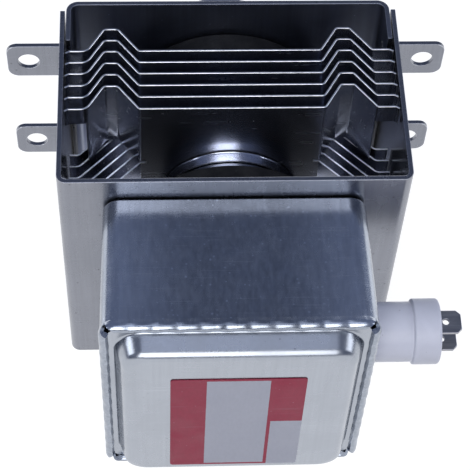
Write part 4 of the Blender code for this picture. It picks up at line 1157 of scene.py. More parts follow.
@dataclass
class YokeRivets:
    """Four flush rivets that hold the flanges to the side walls."""

    radius: float = 1.8
    heights: tuple[float, float] = (10.0, 70.0)
    y: float = 47.45
    inner: float = 39.3
    outer: float = 42.0
    hole: float = 2.0
    dish_depth: float = 0.3
    turn: float = 3.0
    seed: int = 5

    def cutters(self, start: float, end: float) -> list[BMesh]:
        """Drills for the rivets' holes, from one distance off the middle to another."""
        return [moved(along_x(pin(self.hole, start, end, 32), side.value), 0, self.y, z)
                for side in Side for z in self.heights]

    def build(self, shop: Workshop, finishes: Finishes, repeater: Repeater) -> None:
        """Builds the rivets with a dished, peened end."""
        r, length = self.radius, self.outer - self.inner
        corners = [(0, 0), (0, r), (length, r), (length, 0.9), (length - 0.25, 0.5), (length - self.dish_depth, 0)]
        profile = rounded(corners, [0, 0.2, 0.3, 0.25, 0.2, 0], closed=False, steps=4, support=0.05)
        places = [(Vector((side.value * self.inner, self.y, z)), Vector((side.value, 0, 0)), Vector((0, 0, 1)))
                  for side in Side for z in self.heights]
        mesh = repeater.spread(places, lathe(profile, 40), finishes.bright, finishes.bright, self.turn, self.seed)
        names = [f"yoke_rivet_{level}_{side.name.lower()}" for level in ("lower", "upper") for side in Side]
        shop.piece("yoke_rivets", mesh, [finishes.bright], names)


@dataclass
class BoxRivets:
    """Four rivets that hold the filter box to the input plate."""

    across: float = 22.5
    along: float = 21.0
    radius: float = 1.1
    head: float = 2.0
    low: float = -1.4
    head_height: float = 0.8
    head_core: float = 0.7
    head_spread: float = 1.33
    end: float = 1.2
    hole: float = 1.4
    turn: float = 3.0
    seed: int = 7

    def places(self) -> list[Point2]:
        """X and Z of each rivet."""
        return [(side * self.across, MIDDLE_Z + end * self.along) for side in (-1, 1) for end in (-1, 1)]

    def cutters(self, start: float, end: float) -> list[BMesh]:
        """Drills for the rivets' holes, from one Y to another."""
        return [moved(pin(self.hole, start, end, 24), x, 0, z) for x, z in self.places()]

    def build(self, shop: Workshop, finishes: Finishes, repeater: Repeater) -> None:
        """Builds the rivets with rounded heads inside the box."""
        low, r, top = self.low, self.radius, self.low - self.head_height
        dome = [(top, self.head_core), *arc((low, self.head_core), self.head_height, 180, 90, 8)]
        profile = [(top, 0)]
        profile += [(y, min(radius * self.head_spread, self.head) if y < low - 0.01 else self.head)
                    for y, radius in dome]
        profile += [(low, r), (self.end - 0.1, r), (self.end, r - 0.1), (self.end, 0)]
        places = [(Vector((x, 0, z)), Vector((0, 1, 0)), Vector((1, 0, 0))) for x, z in self.places()]
        mesh = repeater.spread(places, lathe(profile, 32), finishes.bright, finishes.bright, self.turn, self.seed)
        shop.piece("box_rivets", mesh, [finishes.bright], [f"box_rivet_{i}" for i in range(1, 5)], 30)


@dataclass
class Magnets:
    """Two ferrite rings with chipped chamfers."""

    radius: float = 25.0
    hole: float = 10.6
    thickness: float = 11.0
    chamfer: float = 0.8
    starts: tuple[float, float] = (1.5, 42.7)

    def build(self, shop: Workshop, finishes: Finishes) -> None:
        """Builds both rings."""
        end, r, h = self.thickness, self.radius, self.hole
        c = self.chamfer
        corners = [(0, h + c), (0, r - c), (c, r), (end - c, r), (end, r - c), (end, h + c), (end - c, h), (c, h)]
        profile = rounded(corners, [0.3] * 8, steps=4, support=0.1)
        for name, start, seed in (("magnet_input", self.starts[0], 11), ("magnet_output", self.starts[1], 12)):
            bm = moved(lathe(profile, 160, chip=0.09, seed=seed), 0, start, AXIS_Z)
            shop.piece(name + "_ring", bm, [finishes.ferrite], [name], 28)


@dataclass
class Anode:
    """Copper cylinder with radial vanes and strap grooves; its outer skin takes the plated finish."""

    radius: float = 16.4
    bore: float = 14.4
    start: float = 13.9
    end: float = 41.3
    vane_start: float = 22.8
    vane_end: float = 32.4
    vane_count: int = 10
    vane_tip: float = 4.3
    vane_thickness: float = 1.8
    vane_root: float = 1.0
    strap_inner: float = 6.4
    strap_width: float = 1.2
    strap_depth: float = 0.8
    plated_depth: float = 0.5
    gap: float = 0.3

    def build(self, shop: Workshop, finishes: Finishes) -> None:
        """Builds the anode."""
        corners = [(self.start, self.bore), (self.start, self.radius), (self.end, self.radius),
                   (self.end, self.bore)]
        bm = lathe(rounded(corners, [0.2, 0.35, 0.35, 0.2], steps=4, support=0.1), 128)
        low, high, half, root = self.vane_start, self.vane_end, self.vane_thickness / 2, self.bore + self.vane_root
        vanes = []
        for i in range(self.vane_count):
            outline = [(self.vane_tip, low, -half), (root, low, -half), (root, high, -half),
                       (self.vane_tip, high, -half)]
            vane = prism(outline, (0, 0, 2 * half))
            turn = Matrix.Rotation(2 * math.pi * i / self.vane_count - math.pi / 2, 3, "Y")
            bmesh.ops.rotate(vane, verts=vane.verts, cent=(0, 0, 0), matrix=turn)
            vanes.append(vane)
        inner, outer = self.strap_inner - self.gap, self.strap_inner + self.strap_width + self.gap
        depth = self.strap_depth + self.gap
        grooves = [lathe([(start, inner), (start, outer), (end, outer), (end, inner)], 64)
                   for start, end in ((low - self.gap, low + depth), (high - depth, high + self.gap))]
        bm = moved(carved(bm, grooves, vanes), 0, 0, AXIS_Z)
        # Faces near the outer radius take the plated finish, darkened as painted shade.
        for face in bm.faces:
            middle = face.calc_center_median()
            face.material_index = int(math.hypot(middle.x, middle.z - AXIS_Z) > self.radius - self.plated_depth)
        shop.piece("anode", bm, [finishes.copper, finishes.plated], ["anode_block"])


@dataclass
class OutputStack:
    """Output cup, ceramic and antenna cap."""

    cup_radius: float = 9.6
    cup_sheet: float = 0.6
    cup_brim: float = 0.8
    cup_start: float = 41.6
    cup_end: float = 61.2
    mouth: float = 5.2
    brim_radius: float = 16.4
    ceramic_radius: float = 7.4
    ceramic_bore: float = 5.6
    ceramic_start: float = 61.5
    ceramic_end: float = 71.1
    groove_start: float = 2.2
    groove_depth: float = 0.25
    cap_radius: float = 7.6
    cap_start: float = 71.4
    cap_end: float = 83.395
    cap_wall: float = 0.6
    cap_round: float = 1.6

    def build(self, shop: Workshop, finishes: Finishes) -> None:
        """Builds the three pieces of the stack."""
        r, t, s, e = self.cup_radius, self.cup_sheet, self.cup_start, self.cup_end
        corners = [(s + self.cup_brim, r), (e, r), (e, self.mouth), (e - t, self.mouth), (e - t, r - t),
                   (s, r - t), (s, self.brim_radius), (s + self.cup_brim, self.brim_radius)]
        radii = [0.5, 0.9, 0.15, 0.15, 0.4, 0.6, 0.2, 0.2]
        bm = moved(lathe(rounded(corners, radii, steps=6, support=0.1), 96), 0, 0, AXIS_Z)
        shop.piece("output_cup", bm, [finishes.bright], ["output_seal_cup"])
        a, b, ro, ri = self.ceramic_start, self.ceramic_end, self.ceramic_radius, self.ceramic_bore
        g, foot = a + self.groove_start, ro - self.groove_depth
        corners = [(a, ri), (a, ro), (g, ro), (g + 0.3, foot), (g + 0.9, foot), (g + 1.2, ro), (b, ro), (b, ri)]
        radii = [0.15, 0.35, 0.1, 0.1, 0.1, 0.1, 0.35, 0.15]
        bm = moved(lathe(rounded(corners, radii, steps=5, support=0.08), 96), 0, 0, AXIS_Z)
        shop.piece("output_insulator", bm, [finishes.output], ["output_ceramic"])
        c, d, rc, w = self.cap_start, self.cap_end, self.cap_radius, self.cap_wall
        corners = [(c, rc - w), (c, rc), (d, rc), (d, 0), (d - w, 0), (d - w, rc - w)]
        radii = [0.15, 0.15, self.cap_round, 0, 0, self.cap_round - w]
        bm = moved(lathe(rounded(corners, radii, steps=8, support=0.12), 96), 0, 0, AXIS_Z)
        shop.piece("antenna_cover", bm, [finishes.bright], ["antenna_cap"])


@dataclass
class Gasket:
    """Knitted wire ring round the output: a core ring under rows of wire loops, both in the wire finish."""

    bore: float = 9.9
    outer: float = 16.6
    start: float = 55.5
    thickness: float = 5.0
    corner: float = 1.6
    inset: float = 0.45
    loop: float = 1.15
    loop_share: float = 0.62
    row_share: float = 0.86
    stray: float = 0.12
    wire: float = 0.13
    seed: int = 21

    def loop_part(self) -> BMesh:
        """One knitted loop of round wire, its height along +Y."""
        half = self.loop * self.loop_share
        knots = [(-0.62, 0.0, -0.9), (-0.28, 0.12, -0.45), (-0.42, 0.2, 0.25), (0.0, 0.1, 0.85), (0.42, 0.2, 0.25),
                 (0.28, 0.12, -0.45), (0.62, 0.0, -0.9)]
        path = [Vector((x * half, y * half, z * half)) for x, y, z in knots]
        rings = []
        for i, point in enumerate(path):
            ahead = (path[min(i + 1, len(path) - 1)] - path[max(i - 1, 0)]).normalized()
            side = ahead.cross(Vector((0, 1, 0))).normalized()
            up = side.cross(ahead)
            rings.append([point + (side * math.cos(a) + up * math.sin(a)) * self.wire
                          for a in (math.pi / 4 + math.pi / 2 * k for k in range(4))])
        return loft(rings)

    def places(self) -> list[Place]:
        """Point, outward direction and direction round the ring for each loop."""
        low, high = self.start + self.inset, self.start + self.thickness - self.inset
        inner, outer = self.bore + self.inset + 0.1, self.outer - self.inset
        c = self.corner
        path = [(low, inner), (low, outer - c), *arc((low + c, outer - c), c, 180, 90, 3)[1:],
                *arc((high - c, outer - c), c, 90, 0, 3)[1:], (high, inner)]
        knots = [Vector(p) for p in path]
        spots: list[tuple[Vector, Vector]] = []
        for a, b in zip(knots, knots[1:]):
            count = max(1, round((b - a).length / (self.loop * self.row_share)))
            out = Vector((-(b - a).y, (b - a).x)).normalized() * -1
            for k in range(count):
                spots.append((a.lerp(b, (k + 0.5) / count), out))
        dice = random.Random(self.seed)
        places = []
        for row, (spot, out) in enumerate(spots):
            count = max(24, round(2 * math.pi * spot.y / self.loop))
            for i in range(count):
                angle = 2 * math.pi * (i + 0.5 * (row % 2) + self.stray * (dice.random() - 0.5)) / count
                radial = Vector((math.cos(angle), 0, math.sin(angle)))
                point = radial * spot.y + Vector((0, spot.x, 0))
                normal = radial * -out.y + Vector((0, -out.x, 0))
                if normal.dot(radial) < -0.5 or (spot.x < self.start + 1 and normal.y > 0.5):
                    normal = -normal
                places.append((point, normal, Vector((-math.sin(angle), 0, math.cos(angle)))))
        return places

    def build(self, shop: Workshop, finishes: Finishes, repeater: Repeater) -> None:
        """Builds the core ring and its loops."""
        low, high = self.start + self.inset, self.start + self.thickness - self.inset
        inner, outer = self.bore + 0.05, self.outer - self.inset
        corners = [(low, inner), (low, outer), (high, outer), (high, inner)]
        core = lathe(rounded(corners, [0.2, self.corner, self.corner, 0.2], steps=5), 96)
        loops = repeater.spread(self.places(), self.loop_part(), finishes.mesh, finishes.mesh, 0.25, self.seed)
        core.from_mesh(loops)
        bpy.data.meshes.remove(loops)
        shop.piece("knitted_gasket", moved(core, 0, 0, AXIS_Z), [finishes.mesh], ["rf_gasket"], 60)


@dataclass
class CoolingFins:
    """Six folded and lanced aluminium fins pressed on the anode."""

    count: int = 6
    first: float = 21.95
    pitch: float = 3.55
    sheet: float = 0.45
    low: float = 0.5
    high: float = 79.5
    flat_half: float = 22.5
    bend: float = 0.7
    wall: float = 40.5
    foot: float = 35.2
    ridge_width: float = 3.4
    ridge_height: float = 6.9
    ridge_shift: float = 0.5
    crest: float = 0.9
    left_crest: float = 1.5
    left_bend: float = 2.4
    lip_length: float = 1.0
    lip_drop: float = 0.6
    lip_bend: float = 0.4
    tab_height: float = 5.8
    split: float = 13.0
    slit: float = 0.6
    vane_feet: tuple[float, float] = (37.9, 36.9)
    vane_bend: float = 1.8
    vane_end: float = 40.3
    collar: float = 16.95
    collar_round: float = 0.9
    collar_length: float = 3.0
    broken_edge: float = 0.07
    jitter: float = 0.04
    tilt: float = 0.0012
    seed: int = 4

    def path(self, kind: str, side: Side) -> tuple[list[Point2], int]:
        """Section of one wing strip in the X-Y plane.

        Args:
            kind: "hump" for the strips with a ridge, "vane" for the strip bent the other way.
            side: Side of the duct; the left ridges are softer than the right ones.

        Returns:
            The points, and the index of the first one on the foot at the wall.
        """
        start = (self.flat_half - 2 * self.bend, 0.0)
        if kind == "hump":
            ridge = (self.flat_half + self.foot) / 2 - side.value * self.ridge_shift
            half, top = self.ridge_width / 2, self.ridge_height
            soft, crest = (self.left_bend, self.left_crest) if side is Side.LEFT else (self.bend, self.crest)
            corners = [start, (self.flat_half, 0), (ridge - half, top), (ridge + half, top), (self.foot, 0),
                       (self.wall - self.lip_length, 0), (self.wall, -self.lip_drop)]
            radii = [0, self.bend, crest, crest, soft, self.lip_bend, 0]
            limit = self.foot
        else:
            vane_foot = self.vane_feet[0 if side is Side.LEFT else 1]
            drop = self.flat_half - vane_foot
            corners = [start, (self.flat_half, 0), (vane_foot, drop), (self.vane_end, drop)]
            radii = [0, self.bend, self.vane_bend, 0]
            limit = self.vane_end
        line = rounded(corners, radii, closed=False, steps=6, support=0.12)
        return line, next(i for i, point in enumerate(line) if point[0] >= limit - HAIR)

    def sheet_mesh(self) -> BMesh:
        """Middle surface of one fin at y = 0, its axis on the tube's axis."""
        bm = bmesh.new()
        split_low, split_high = AXIS_Z - self.split, AXIS_Z + self.split
        half_slit = self.slit / 2
        strips = (("hump", self.low, self.low + self.tab_height, split_low - half_slit),
                  ("vane", split_low + half_slit, None, split_high - half_slit),
                  ("hump", split_high + half_slit, self.high - self.tab_height, self.high))
        roots: dict[Side, list] = {Side.LEFT: [], Side.RIGHT: []}
        for side in Side:
            for kind, low, tab, high in strips:
                levels = [low, high] if tab is None else [low, tab, high]
                line, foot = self.path(kind, side)
                rows = [[bm.verts.new((side.value * x, y, z)) for z in levels] for x, y in line]
                for i, (row, following) in enumerate(zip(rows, rows[1:])):
                    for k in range(len(levels) - 1):
                        at_rim = levels[k] == self.low or levels[k + 1] == self.high
                        if i < foot or at_rim:
                            bm.faces.new((row[k], row[k + 1], following[k + 1], following[k]))
                roots[side] += rows[0]
        bmesh.ops.delete(bm, geom=[v for v in bm.verts if not v.link_faces], context="VERTS")
        steps = 96
        radii = [(self.collar + self.collar_round + 0.15, 0.0)]
        for k in range(7):
            a = math.radians(15 * k)
            across, along = 1 - math.sin(a), 1 - math.cos(a)
            radii.append((self.collar + self.collar_round * across, -self.collar_round * along))
        radii.append((self.collar, -self.collar_length))
        angles = [2 * math.pi * i / steps for i in range(steps)]
        rings = [[bm.verts.new((r * math.cos(a), y, AXIS_Z + r * math.sin(a))) for a in angles] for r, y in radii]
        bridged(bm, rings)
        border = roots[Side.RIGHT] + list(reversed(roots[Side.LEFT]))
        loops = [bm.edges.get(pair) or bm.edges.new(pair) for pair in zip(border, border[1:] + border[:1])]
        loops += [bm.edges.get(pair) for pair in zip(rings[0], rings[0][1:] + rings[0][:1])]
        bmesh.ops.triangle_fill(bm, use_beauty=True, edges=loops)
        bmesh.ops.recalc_face_normals(bm, faces=bm.faces)
        return bm

    def part(self) -> BMesh:
        """One fin with its thickness; its rim has material index 1."""
        item = workpiece(self.sheet_mesh(), 2)
        modified(item, "SOLIDIFY", thickness=self.sheet, offset=0, use_even_offset=True, material_offset_rim=1)
        modified(item, "BEVEL", width=self.broken_edge, segments=1, limit_method="ANGLE",
                 angle_limit=math.radians(60), use_clamp_overlap=False, material=1)
        return baked(item)

    def build(self, shop: Workshop, finishes: Finishes, repeater: Repeater) -> None:
        """Builds the six fins."""
        dice = random.Random(self.seed)
        places = []
        for i in range(self.count):
            y = self.first + self.pitch * i + self.jitter * (2 * dice.random() - 1)
            tilt = self.tilt * (2 * dice.random() - 1)
            ahead, across = Vector((tilt, 1, 0)).normalized(), Vector((1, -tilt, 0)).normalized()
            places.append((Vector((0, y, 0)), ahead, across))
        mesh = repeater.spread(places, self.part(), finishes.fin, finishes.fin_edge)
        rim = self.collar + self.collar_round
        for face in mesh.polygons:
            if face.material_index == 0 and math.hypot(face.center.x, face.center.z - AXIS_Z) < rim:
                face.material_index = 2
        names = [f"cooling_fin_{i + 1}" for i in range(self.count)]
        shop.piece("cooling_fins", mesh, [finishes.fin, finishes.fin_edge, finishes.collar], names)


class RingShape:
    """Rounded rectangles with many points, all with the same count and order."""

    def __init__(self, per_side: int, per_corner: int) -> None:
        """Sets the point counts.

        Args:
            per_side: Points along each straight side.
            per_corner: Points along each corner.
        """
        self.per_side = per_side
        self.per_corner = per_corner

    def ring(self, half_x: float, half_z: float, corner: float, y: float) -> list[Vector]:
        """One ring about (0, MIDDLE_Z) at a depth y."""
        corner = max(corner, 0.2)
        points = []
        quarters = ((1, 1, 0), (-1, 1, 90), (-1, -1, 180), (1, -1, 270))
        arcs = []
        for sign_x, sign_z, start in quarters:
            centre = (sign_x * (half_x - corner), sign_z * (half_z - corner))
            arcs.append(arc(centre, corner, start, start + 90, self.per_corner))
        for quarter, following in zip(arcs, arcs[1:] + arcs[:1]):
            points += quarter
            a, b = Vector(quarter[-1]), Vector(following[0])
            for k in range(1, self.per_side):
                spot = a.lerp(b, k / self.per_side)
                points.append((spot.x, spot.y))
        return [Vector((x, y, MIDDLE_Z + z)) for x, z in points]


@dataclass
class FilterBox:
    """Drawn tray with a crimped lip, a stem hole, a capacitor hole and a notch at each lip corner."""

    rear: float = -0.3
    front: float = -36.3
    half_x: float = 31.4
    half_z: float = 33.8
    draft: float = 0.5
    sheet: float = 0.8
    corner: float = 4.5
    edge: float = 0.9
    lip_depth: float = 3.0
    lip_flare: float = 0.3
    bead_width: float = 1.7
    bead_foot: float = 2.2
    bead_depth: float = 1.12
    bead_round: float = 1.2
    crimp_pitch: float = 5.5
    crimp_depth: float = 0.36
    side_crimp_depth: float = 0.16
    crimp_width: float = 1.5
    crimp_run: float = 2.6
    crimp_power: float = 1.6
    ear: float = 0.45
    ear_reach: float = 3.2
    notch_width: float = 3.4
    notch_depth: float = 2.8
    capacitor_y: float = -20.8
    capacitor_hole: float = 7.7
    stem_hole: float = 10.4
    ring_step: float = 0.3
    wall_rings: int = 7
    per_side: int = 150

    def half(self, y: float) -> Point2:
        """Half sizes of the outer surface at a depth y."""
        share = min(1.0, (self.rear - y) / (self.rear - self.front - self.lip_depth))
        return self.half_x + self.draft * share, self.half_z + self.draft * share

    def lip_half(self) -> Point2:
        """Half sizes of the lip's outer surface."""
        half_x, half_z = self.half(self.front)
        return half_x + self.lip_flare, half_z + self.lip_flare

    def wall(self, offset: float) -> list[Level]:
        """Half sizes, corner and depth of the rings from the closed end to the lip, moved inwards by an offset."""
        rings = []
        edge = self.edge - offset
        for across, along in arc((0, 0), edge, 90, 0, 10):
            y = self.rear - self.edge + along
            half_x, half_z = self.half(y)
            inset = self.edge - across
            rings.append((half_x - inset, half_z - inset, self.corner - min(inset, self.corner - 0.8), y))
        start = self.front + self.lip_depth
        for k in range(1, self.wall_rings + 1):
            y = self.rear - self.edge + (start - self.rear + self.edge) * k / self.wall_rings
            half_x, half_z = self.half(y)
            rings.append((half_x - offset, half_z - offset, self.corner - offset, y))
        return rings

    def lip(self) -> list[Level]:
        """Rings of the flared lip and of the bead that is rolled over the cover's flange."""
        half_x, half_z = self.lip_half()
        start, under = self.front + self.lip_depth, self.front + self.bead_depth
        corners = [(self.lip_flare, start), (0, start - 1.2), (0, self.front), (self.bead_width, self.front),
                   (self.bead_foot, under), (self.sheet, under), (self.sheet, start - 1.2),
                   (self.sheet + self.lip_flare, start)]
        radii = [0, 0.8, self.bead_round, 0.4, 0.08, 0.1, 0.5, 0]
        section = subdivided(rounded(corners, radii, closed=False, steps=6), self.ring_step)
        return [(half_x - inset, half_z - inset, self.corner - min(inset, 2.0), y) for inset, y in section[1:-1]]

    def crimped(self, point: Vector) -> Vector:
        """A point of the lip, pressed inwards by a crimp or bent outwards beside a notch."""
        start = self.front + self.lip_depth
        if point.y > start:
            return point
        depth = min(1.0, (start - point.y) / self.crimp_run) ** self.crimp_power
        lip_x, lip_z = self.lip_half()
        x, z = point.x, point.z - MIDDLE_Z
        near_x, near_z = lip_x - abs(x), lip_z - abs(z)
        flat = near_z < near_x
        along, length = (x, lip_x) if flat else (z, lip_z)
        count = int((length - self.corner) * 2 / self.crimp_pitch)
        place = along / self.crimp_pitch + (count - 1) / 2
        nearest = min(max(round(place), 0), count - 1)
        away = abs(place - nearest) * self.crimp_pitch
        press = (self.crimp_depth if flat else self.side_crimp_depth) * math.exp(-(away / self.crimp_width) ** 2)
        bend = self.ear * math.exp(-((near_x + near_z) / self.ear_reach) ** 4) * depth
        if flat:
            z -= math.copysign(press * depth, z)
        else:
            x -= math.copysign(press * depth, x)
        return Vector((x + math.copysign(bend, x), point.y, MIDDLE_Z + z + math.copysign(bend, z)))

    def notch(self, sign_x: int, sign_z: int) -> BMesh:
        """V cutter for one corner of the lip."""
        lip_x, lip_z = self.lip_half()
        corner = Vector((sign_x * lip_x, 0, MIDDLE_Z + sign_z * lip_z))
        out = Vector((sign_x, 0, sign_z)).normalized()
        side = Vector((-out.z, 0, out.x)) * self.notch_width / 2
        inner = corner - out * self.corner
        front = Vector((0, self.front - 0.3, 0))
        tip = Vector((0, self.front + self.notch_depth, 0))
        return prism([inner + front + side, inner + front - side, inner + tip], out * self.corner * 1.5)

    def build(self, shop: Workshop, finishes: Finishes) -> None:
        """Builds the box."""
        shape = RingShape(self.per_side, 12)
        levels = self.wall(0) + self.lip() + list(reversed(self.wall(self.sheet)))
        bm = loft([[self.crimped(point) for point in shape.ring(*level)] for level in levels])
        cutters = [moved(pin(self.stem_hole, self.rear - 4, self.rear + 2, 72), 0, 0, AXIS_Z),
                   moved(along_x(pin(self.capacitor_hole, 27, 36, 72)), 0, self.capacitor_y, AXIS_Z)]
        cutters += BoxRivets().cutters(self.rear - 4, self.rear + 2)
        cutters += [self.notch(sx, sz) for sx in (-1, 1) for sz in (-1, 1)]
        shop.piece("filter_tray", carved(bm, cutters), [finishes.box], ["filter_box"], 32)


@dataclass
class FilterCover:
    """Pressed lid: a flange in the lip, a channel and a raised panel with rounded edges."""

    half_x: float = 31.1
    half_z: float = 33.5
    flange_y: float = -35.1
    sheet: float = 0.8
    channel: float = 2.4
    slope: float = 1.9
    rise: float = 5.75
    flange_corner: float = 6.0
    panel_corner: float = 7.0
    panel_edge: float = 2.3
    base_round: float = 0.6
    least_corner: float = 5.0
    panel_reach: float = 12.0

    def build(self, shop: Workshop, finishes: Finishes) -> None:
        """Builds the lid as a front skin with even thickness."""
        shape = RingShape(24, 16)
        section = rounded([(0, 0), (self.channel, 0), (self.channel + self.slope, self.rise),
                           (self.panel_reach, self.rise)],
                          [0, self.base_round, self.panel_edge, 0], closed=False, steps=7, support=0.15)
        rings = []
        for inset, up in section[:-1]:
            corner = self.flange_corner
            if inset > 0:
                corner = max(self.panel_corner - max(0.0, inset - self.channel), self.least_corner)
            rings.append(shape.ring(self.half_x - inset, self.half_z - inset, corner, self.flange_y - up))
        item = workpiece(loft(rings, cap_start=False))
        modified(item, "SOLIDIFY", thickness=self.sheet, offset=-1, use_even_offset=True)
        shop.piece("pressed_cover", baked(item), [finishes.cover], ["filter_cover"])


@dataclass
class RatingLabel:
    """Plain printed label on the raised panel."""

    half_x: float = 15.9
    half_z: float = 22.6
    centre_z: float = 36.4
    back: float = -40.9
    front: float = -41.095
    corner: float = 0.8

    @staticmethod
    def fields() -> tuple[tuple[Point2, Point2], ...]:
        """Printed fields: a band on the left, a thin border and a block on the right."""
        low, high = MIDDLE_Z - 27.0, MIDDLE_Z + 20.0
        band, line, block = -7.4, 8.3, MIDDLE_Z - 2.6
        return (((-17.0, low), (band, high)), ((line - 0.9, low), (line, high)),
                ((line - 0.2, block), (17.0, high)), ((band - 0.2, MIDDLE_Z + 18.2), (line, high)),
                ((band - 0.2, low), (line, MIDDLE_Z - 25.3)))

    def build(self, shop: Workshop, finishes: Finishes) -> None:
        """Builds the label."""
        outline = rounded([(-self.half_x, -self.half_z), (self.half_x, -self.half_z), (self.half_x, self.half_z),
                           (-self.half_x, self.half_z)], [self.corner] * 4, steps=6)
        bm = prism([(x, self.back, self.centre_z + z) for x, z in outline], (0, self.front - self.back, 0))
        bm = eased(bm, 0.05, 1)
        shop.piece("printed_label", bm, [finishes.label], ["rating_label"])


@dataclass
class Capacitor:
    """Moulded feed-through body with two tinned blades."""

    y: float = -20.8
    start: float = 24.91
    step: float = 43.21
    end: float = 50.01
    radius: float = 7.4
    head: float = 8.1
    blade_rise: float = 4.2
    blade_half: float = 3.15
    blade_sheet: float = 0.8
    blade_tip: float = 55.31
    blade_inner: float = 21.91
    chamfer: float = 1.1
    hole: float = 0.8
    hole_inset: float = 3.8
    slot_gap: float = 0.12
    face_depth: float = 0.25
    rim: float = 1.4

    def body(self) -> BMesh:
        """The moulded body with a slot round each blade."""
        sunk = self.end - self.face_depth
        corners = [(self.start, 0), (self.start, self.radius), (self.step, self.radius),
                   (self.step + 0.3, self.head), (self.end, self.head), (self.end, self.head - self.rim),
                   (sunk, self.head - self.rim - 0.3), (sunk, 0)]
        profile = rounded(corners, [0, 0.5, 0.25, 0.45, 0.7, 0.15, 0.15, 0], closed=False, steps=6, support=0.12)
        bm = moved(along_x(lathe(profile, 112)), 0, self.y, AXIS_Z)
        slots = []
        for side in (-1, 1):
            z = AXIS_Z + side * self.blade_rise
            half, width = self.blade_sheet / 2 + self.slot_gap, self.blade_half + self.slot_gap
            outline = [(self.start - 1, self.y - width, z - half), (self.end + 1, self.y - width, z - half),
                       (self.end + 1, self.y + width, z - half), (self.start - 1, self.y + width, z - half)]
            slots.append(prism(outline, (0, 0, 2 * half)))
        return carved(bm, slots)

    def blade(self, side: int) -> BMesh:
        """One blade with chamfered tip and a hole."""
        c, half, tip = self.chamfer, self.blade_half, self.blade_tip
        low = AXIS_Z + side * self.blade_rise - self.blade_sheet / 2
        outline = [(self.blade_inner, -half), (tip - c, -half), (tip, -half + c), (tip, half - c), (tip - c, half),
                   (self.blade_inner, half)]
        bm = prism([(x, self.y + y, low) for x, y in outline], (0, 0, self.blade_sheet))
        drill = pin(self.hole, -3, 3, 32)
        bmesh.ops.rotate(drill, verts=drill.verts, cent=(0, 0, 0), matrix=Matrix.Rotation(math.pi / 2, 3, "X"))
        bm = carved(bm, [moved(drill, tip - self.hole_inset, self.y, low)])
        return eased(bm, 0.14, 2)

    def build(self, shop: Workshop, finishes: Finishes) -> None:
        """Builds the body and both blades."""
        shop.piece("moulded_body", self.body(), [finishes.case], ["capacitor_body"])
        for side, name in ((1, "upper"), (-1, "lower")):
            shop.piece(f"blade_{name}", self.blade(side), [finishes.tinned, finishes.tinned_edge],
                       [f"capacitor_blade_{name}"])


class InnerParts:
    """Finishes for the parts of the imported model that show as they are, inside the tube and the box."""

    PLAN = {
        "strap_ring_input": "copper", "strap_ring_output": "copper", "antenna_lead": "copper",
        "pole_piece_input": "iron", "pole_piece_output": "iron", "input_seal_cup": "bright",
        "cathode_filament": "tungsten", "end_hat_input": "molybdenum", "end_hat_output": "molybdenum",
        "centre_lead": "molybdenum", "side_lead": "molybdenum", "stem_ceramic": "stem",
        "capacitor_plate": "bright", "choke_coil_upper": "enamel", "choke_coil_lower": "enamel",
        "choke_rod_upper": "ferrite_rod", "choke_rod_lower": "ferrite_rod",
    }

    def build(self, finishes: Finishes) -> None:
        """Gives every remaining part its finish."""
        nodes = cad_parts
        for name, finish in self.PLAN.items():
            item = nodes[name]
            item.data.materials.clear()
            item.data.materials.append(getattr(finishes, finish))
            log.info("%s keeps its shape, finish %s", name, finish)


# Studio


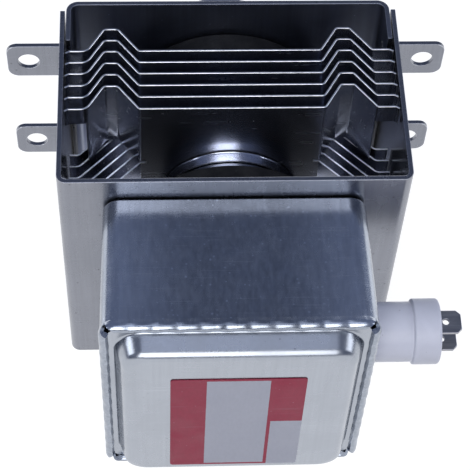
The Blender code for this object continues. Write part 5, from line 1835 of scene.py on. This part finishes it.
@dataclass
class Studio:
    """Pale floor, soft light and the camera of the reference view."""

    floor_half: float = 3.0
    floor_drop: float = 0.0002
    floor_colour: float = 0.35
    floor_glow: float = 0.86
    world: Colour = (0.125, 0.15, 0.23)
    eye: Point3 = (-0.01948, -0.24298, 0.399996)
    yaw: float = 0.090
    pitch: float = 0.995
    roll: float = 0.064
    lens: float = 127.9
    sensor: float = 36.0
    clip: tuple[float, float] = (0.01, 20.0)
    aim: Point3 = (0.0, 0.0, 0.04)

    def floor(self) -> None:
        """Lays the floor under the lower rim."""
        bm = bmesh.new()
        corners = ((-1, -1), (1, -1), (1, 1), (-1, 1))
        bm.faces.new([bm.verts.new((x * self.floor_half, y * self.floor_half, -self.floor_drop))
                      for x, y in corners])
        item = placed(mesh_of(bm, "floor"), "floor")
        made = bpy.data.materials.new("pale floor")
        graph = emptied(made)
        plain = graph.node("ShaderNodeBsdfDiffuse", {"Color": (*[self.floor_colour] * 3, 1.0)})
        path = graph.node("ShaderNodeLightPath")
        seen = graph.plus(graph.plus(path.outputs["Is Camera Ray"], path.outputs["Is Glossy Ray"]),
                          path.outputs["Is Transmission Ray"], clamp=True)
        glow = graph.node("ShaderNodeEmission",
                          {"Color": (*WHITE, 1.0), "Strength": graph.times(seen, self.floor_glow)})
        total = graph.node("ShaderNodeAddShader", {0: plain.outputs[0], 1: glow.outputs[0]})
        graph.node("ShaderNodeOutputMaterial", {"Surface": total.outputs[0]})
        item.data.materials.append(made)

    def backdrop(self) -> None:
        """Sets the dim world, white only where the camera sees it."""
        world = bpy.data.worlds.new("studio")
        bpy.context.scene.world = world
        graph = emptied(world)
        path = graph.node("ShaderNodeLightPath")
        dim = graph.node("ShaderNodeBackground", {"Color": (*self.world, 1.0), "Strength": 1.0})
        white = graph.node("ShaderNodeBackground", {"Color": (*WHITE, 1.0), "Strength": 1.0})
        both = graph.node("ShaderNodeMixShader", {0: path.outputs["Is Camera Ray"], 1: dim.outputs[0],
                                                  2: white.outputs[0]})
        graph.node("ShaderNodeOutputWorld", {"Surface": both.outputs[0]})

    def lamp(self, name: str, place: Point3, size: Point2, power: float, colour: Colour = WHITE) -> None:
        """Hangs one soft light that faces the tube.

        Args:
            name: Name of the light.
            place: Its place in metres.
            size: Width and height in metres.
            power: Power in watts.
            colour: Its colour.
        """
        data = bpy.data.lights.new(name, "AREA")
        data.shape = "RECTANGLE"
        data.size, data.size_y = size
        data.energy = power
        data.color = colour
        item = placed(data, name)
        item.location = place
        direction = Vector(self.aim) - Vector(place)
        item.rotation_euler = direction.to_track_quat("-Z", "Y").to_euler()

    def lights(self) -> None:
        """Hangs the key, the fills and the top light."""
        self.lamp("key", (-0.10, -0.80, 0.70), (0.60, 0.90), 5.6)
        self.lamp("overhead", (0.0, -0.10, 1.0), (0.5, 0.5), 0.60, (0.78, 0.84, 1.0))
        self.lamp("left fill", (-0.85, 0.0, 0.50), (0.5, 0.4), 1.9, (0.92, 0.95, 1.0))
        self.lamp("right fill", (0.85, 0.05, 0.45), (0.5, 0.4), 1.9, (0.92, 0.95, 1.0))
        self.lamp("rear", (0.2, 1.1, 0.35), (0.6, 0.4), 0.75)

    def camera(self) -> None:
        """Sets the camera at the reference view."""
        cy, sy, cp, sp = math.cos(self.yaw), math.sin(self.yaw), math.cos(self.pitch), math.sin(self.pitch)
        ahead = Vector((sy * cp, cy * cp, -sp))
        right = Vector((cy, -sy, 0))
        up = right.cross(ahead)
        cr, sr = math.cos(self.roll), math.sin(self.roll)
        right, up = cr * right + sr * up, -sr * right + cr * up
        data = bpy.data.cameras.new("camera")
        data.lens = self.lens
        data.sensor_width = self.sensor
        data.clip_start, data.clip_end = self.clip
        item = placed(data, "camera")
        turn = Matrix((right, up, -ahead)).transposed().to_4x4()
        item.matrix_world = Matrix.Translation(self.eye) @ turn
        bpy.context.scene.camera = item

    def build(self) -> None:
        """Builds the whole studio."""
        self.floor()
        self.backdrop()
        self.lights()
        self.camera()
        bpy.context.scene.view_settings.view_transform = "Standard"
        bpy.context.scene.view_settings.look = "None"
        log.info("studio ready")


def main() -> None:
    logging.basicConfig(level=logging.INFO, format="%(name)s: %(message)s")
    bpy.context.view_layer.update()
    shop = Workshop()
    finishes = Finishes(EffectGroups(), RatingLabel.fields())
    repeater = Repeater()
    YokeBracket().build(shop, finishes)
    OutputPlate().build(shop, finishes)
    YokeRivets().build(shop, finishes, repeater)
    Magnets().build(shop, finishes)
    Anode().build(shop, finishes)
    CoolingFins().build(shop, finishes, repeater)
    OutputStack().build(shop, finishes)
    Gasket().build(shop, finishes, repeater)
    FilterBox().build(shop, finishes)
    BoxRivets().build(shop, finishes, repeater)
    FilterCover().build(shop, finishes)
    RatingLabel().build(shop, finishes)
    Capacitor().build(shop, finishes)
    InnerParts().build(finishes)
    Studio().build()


if __name__ == "__main__":
    main()
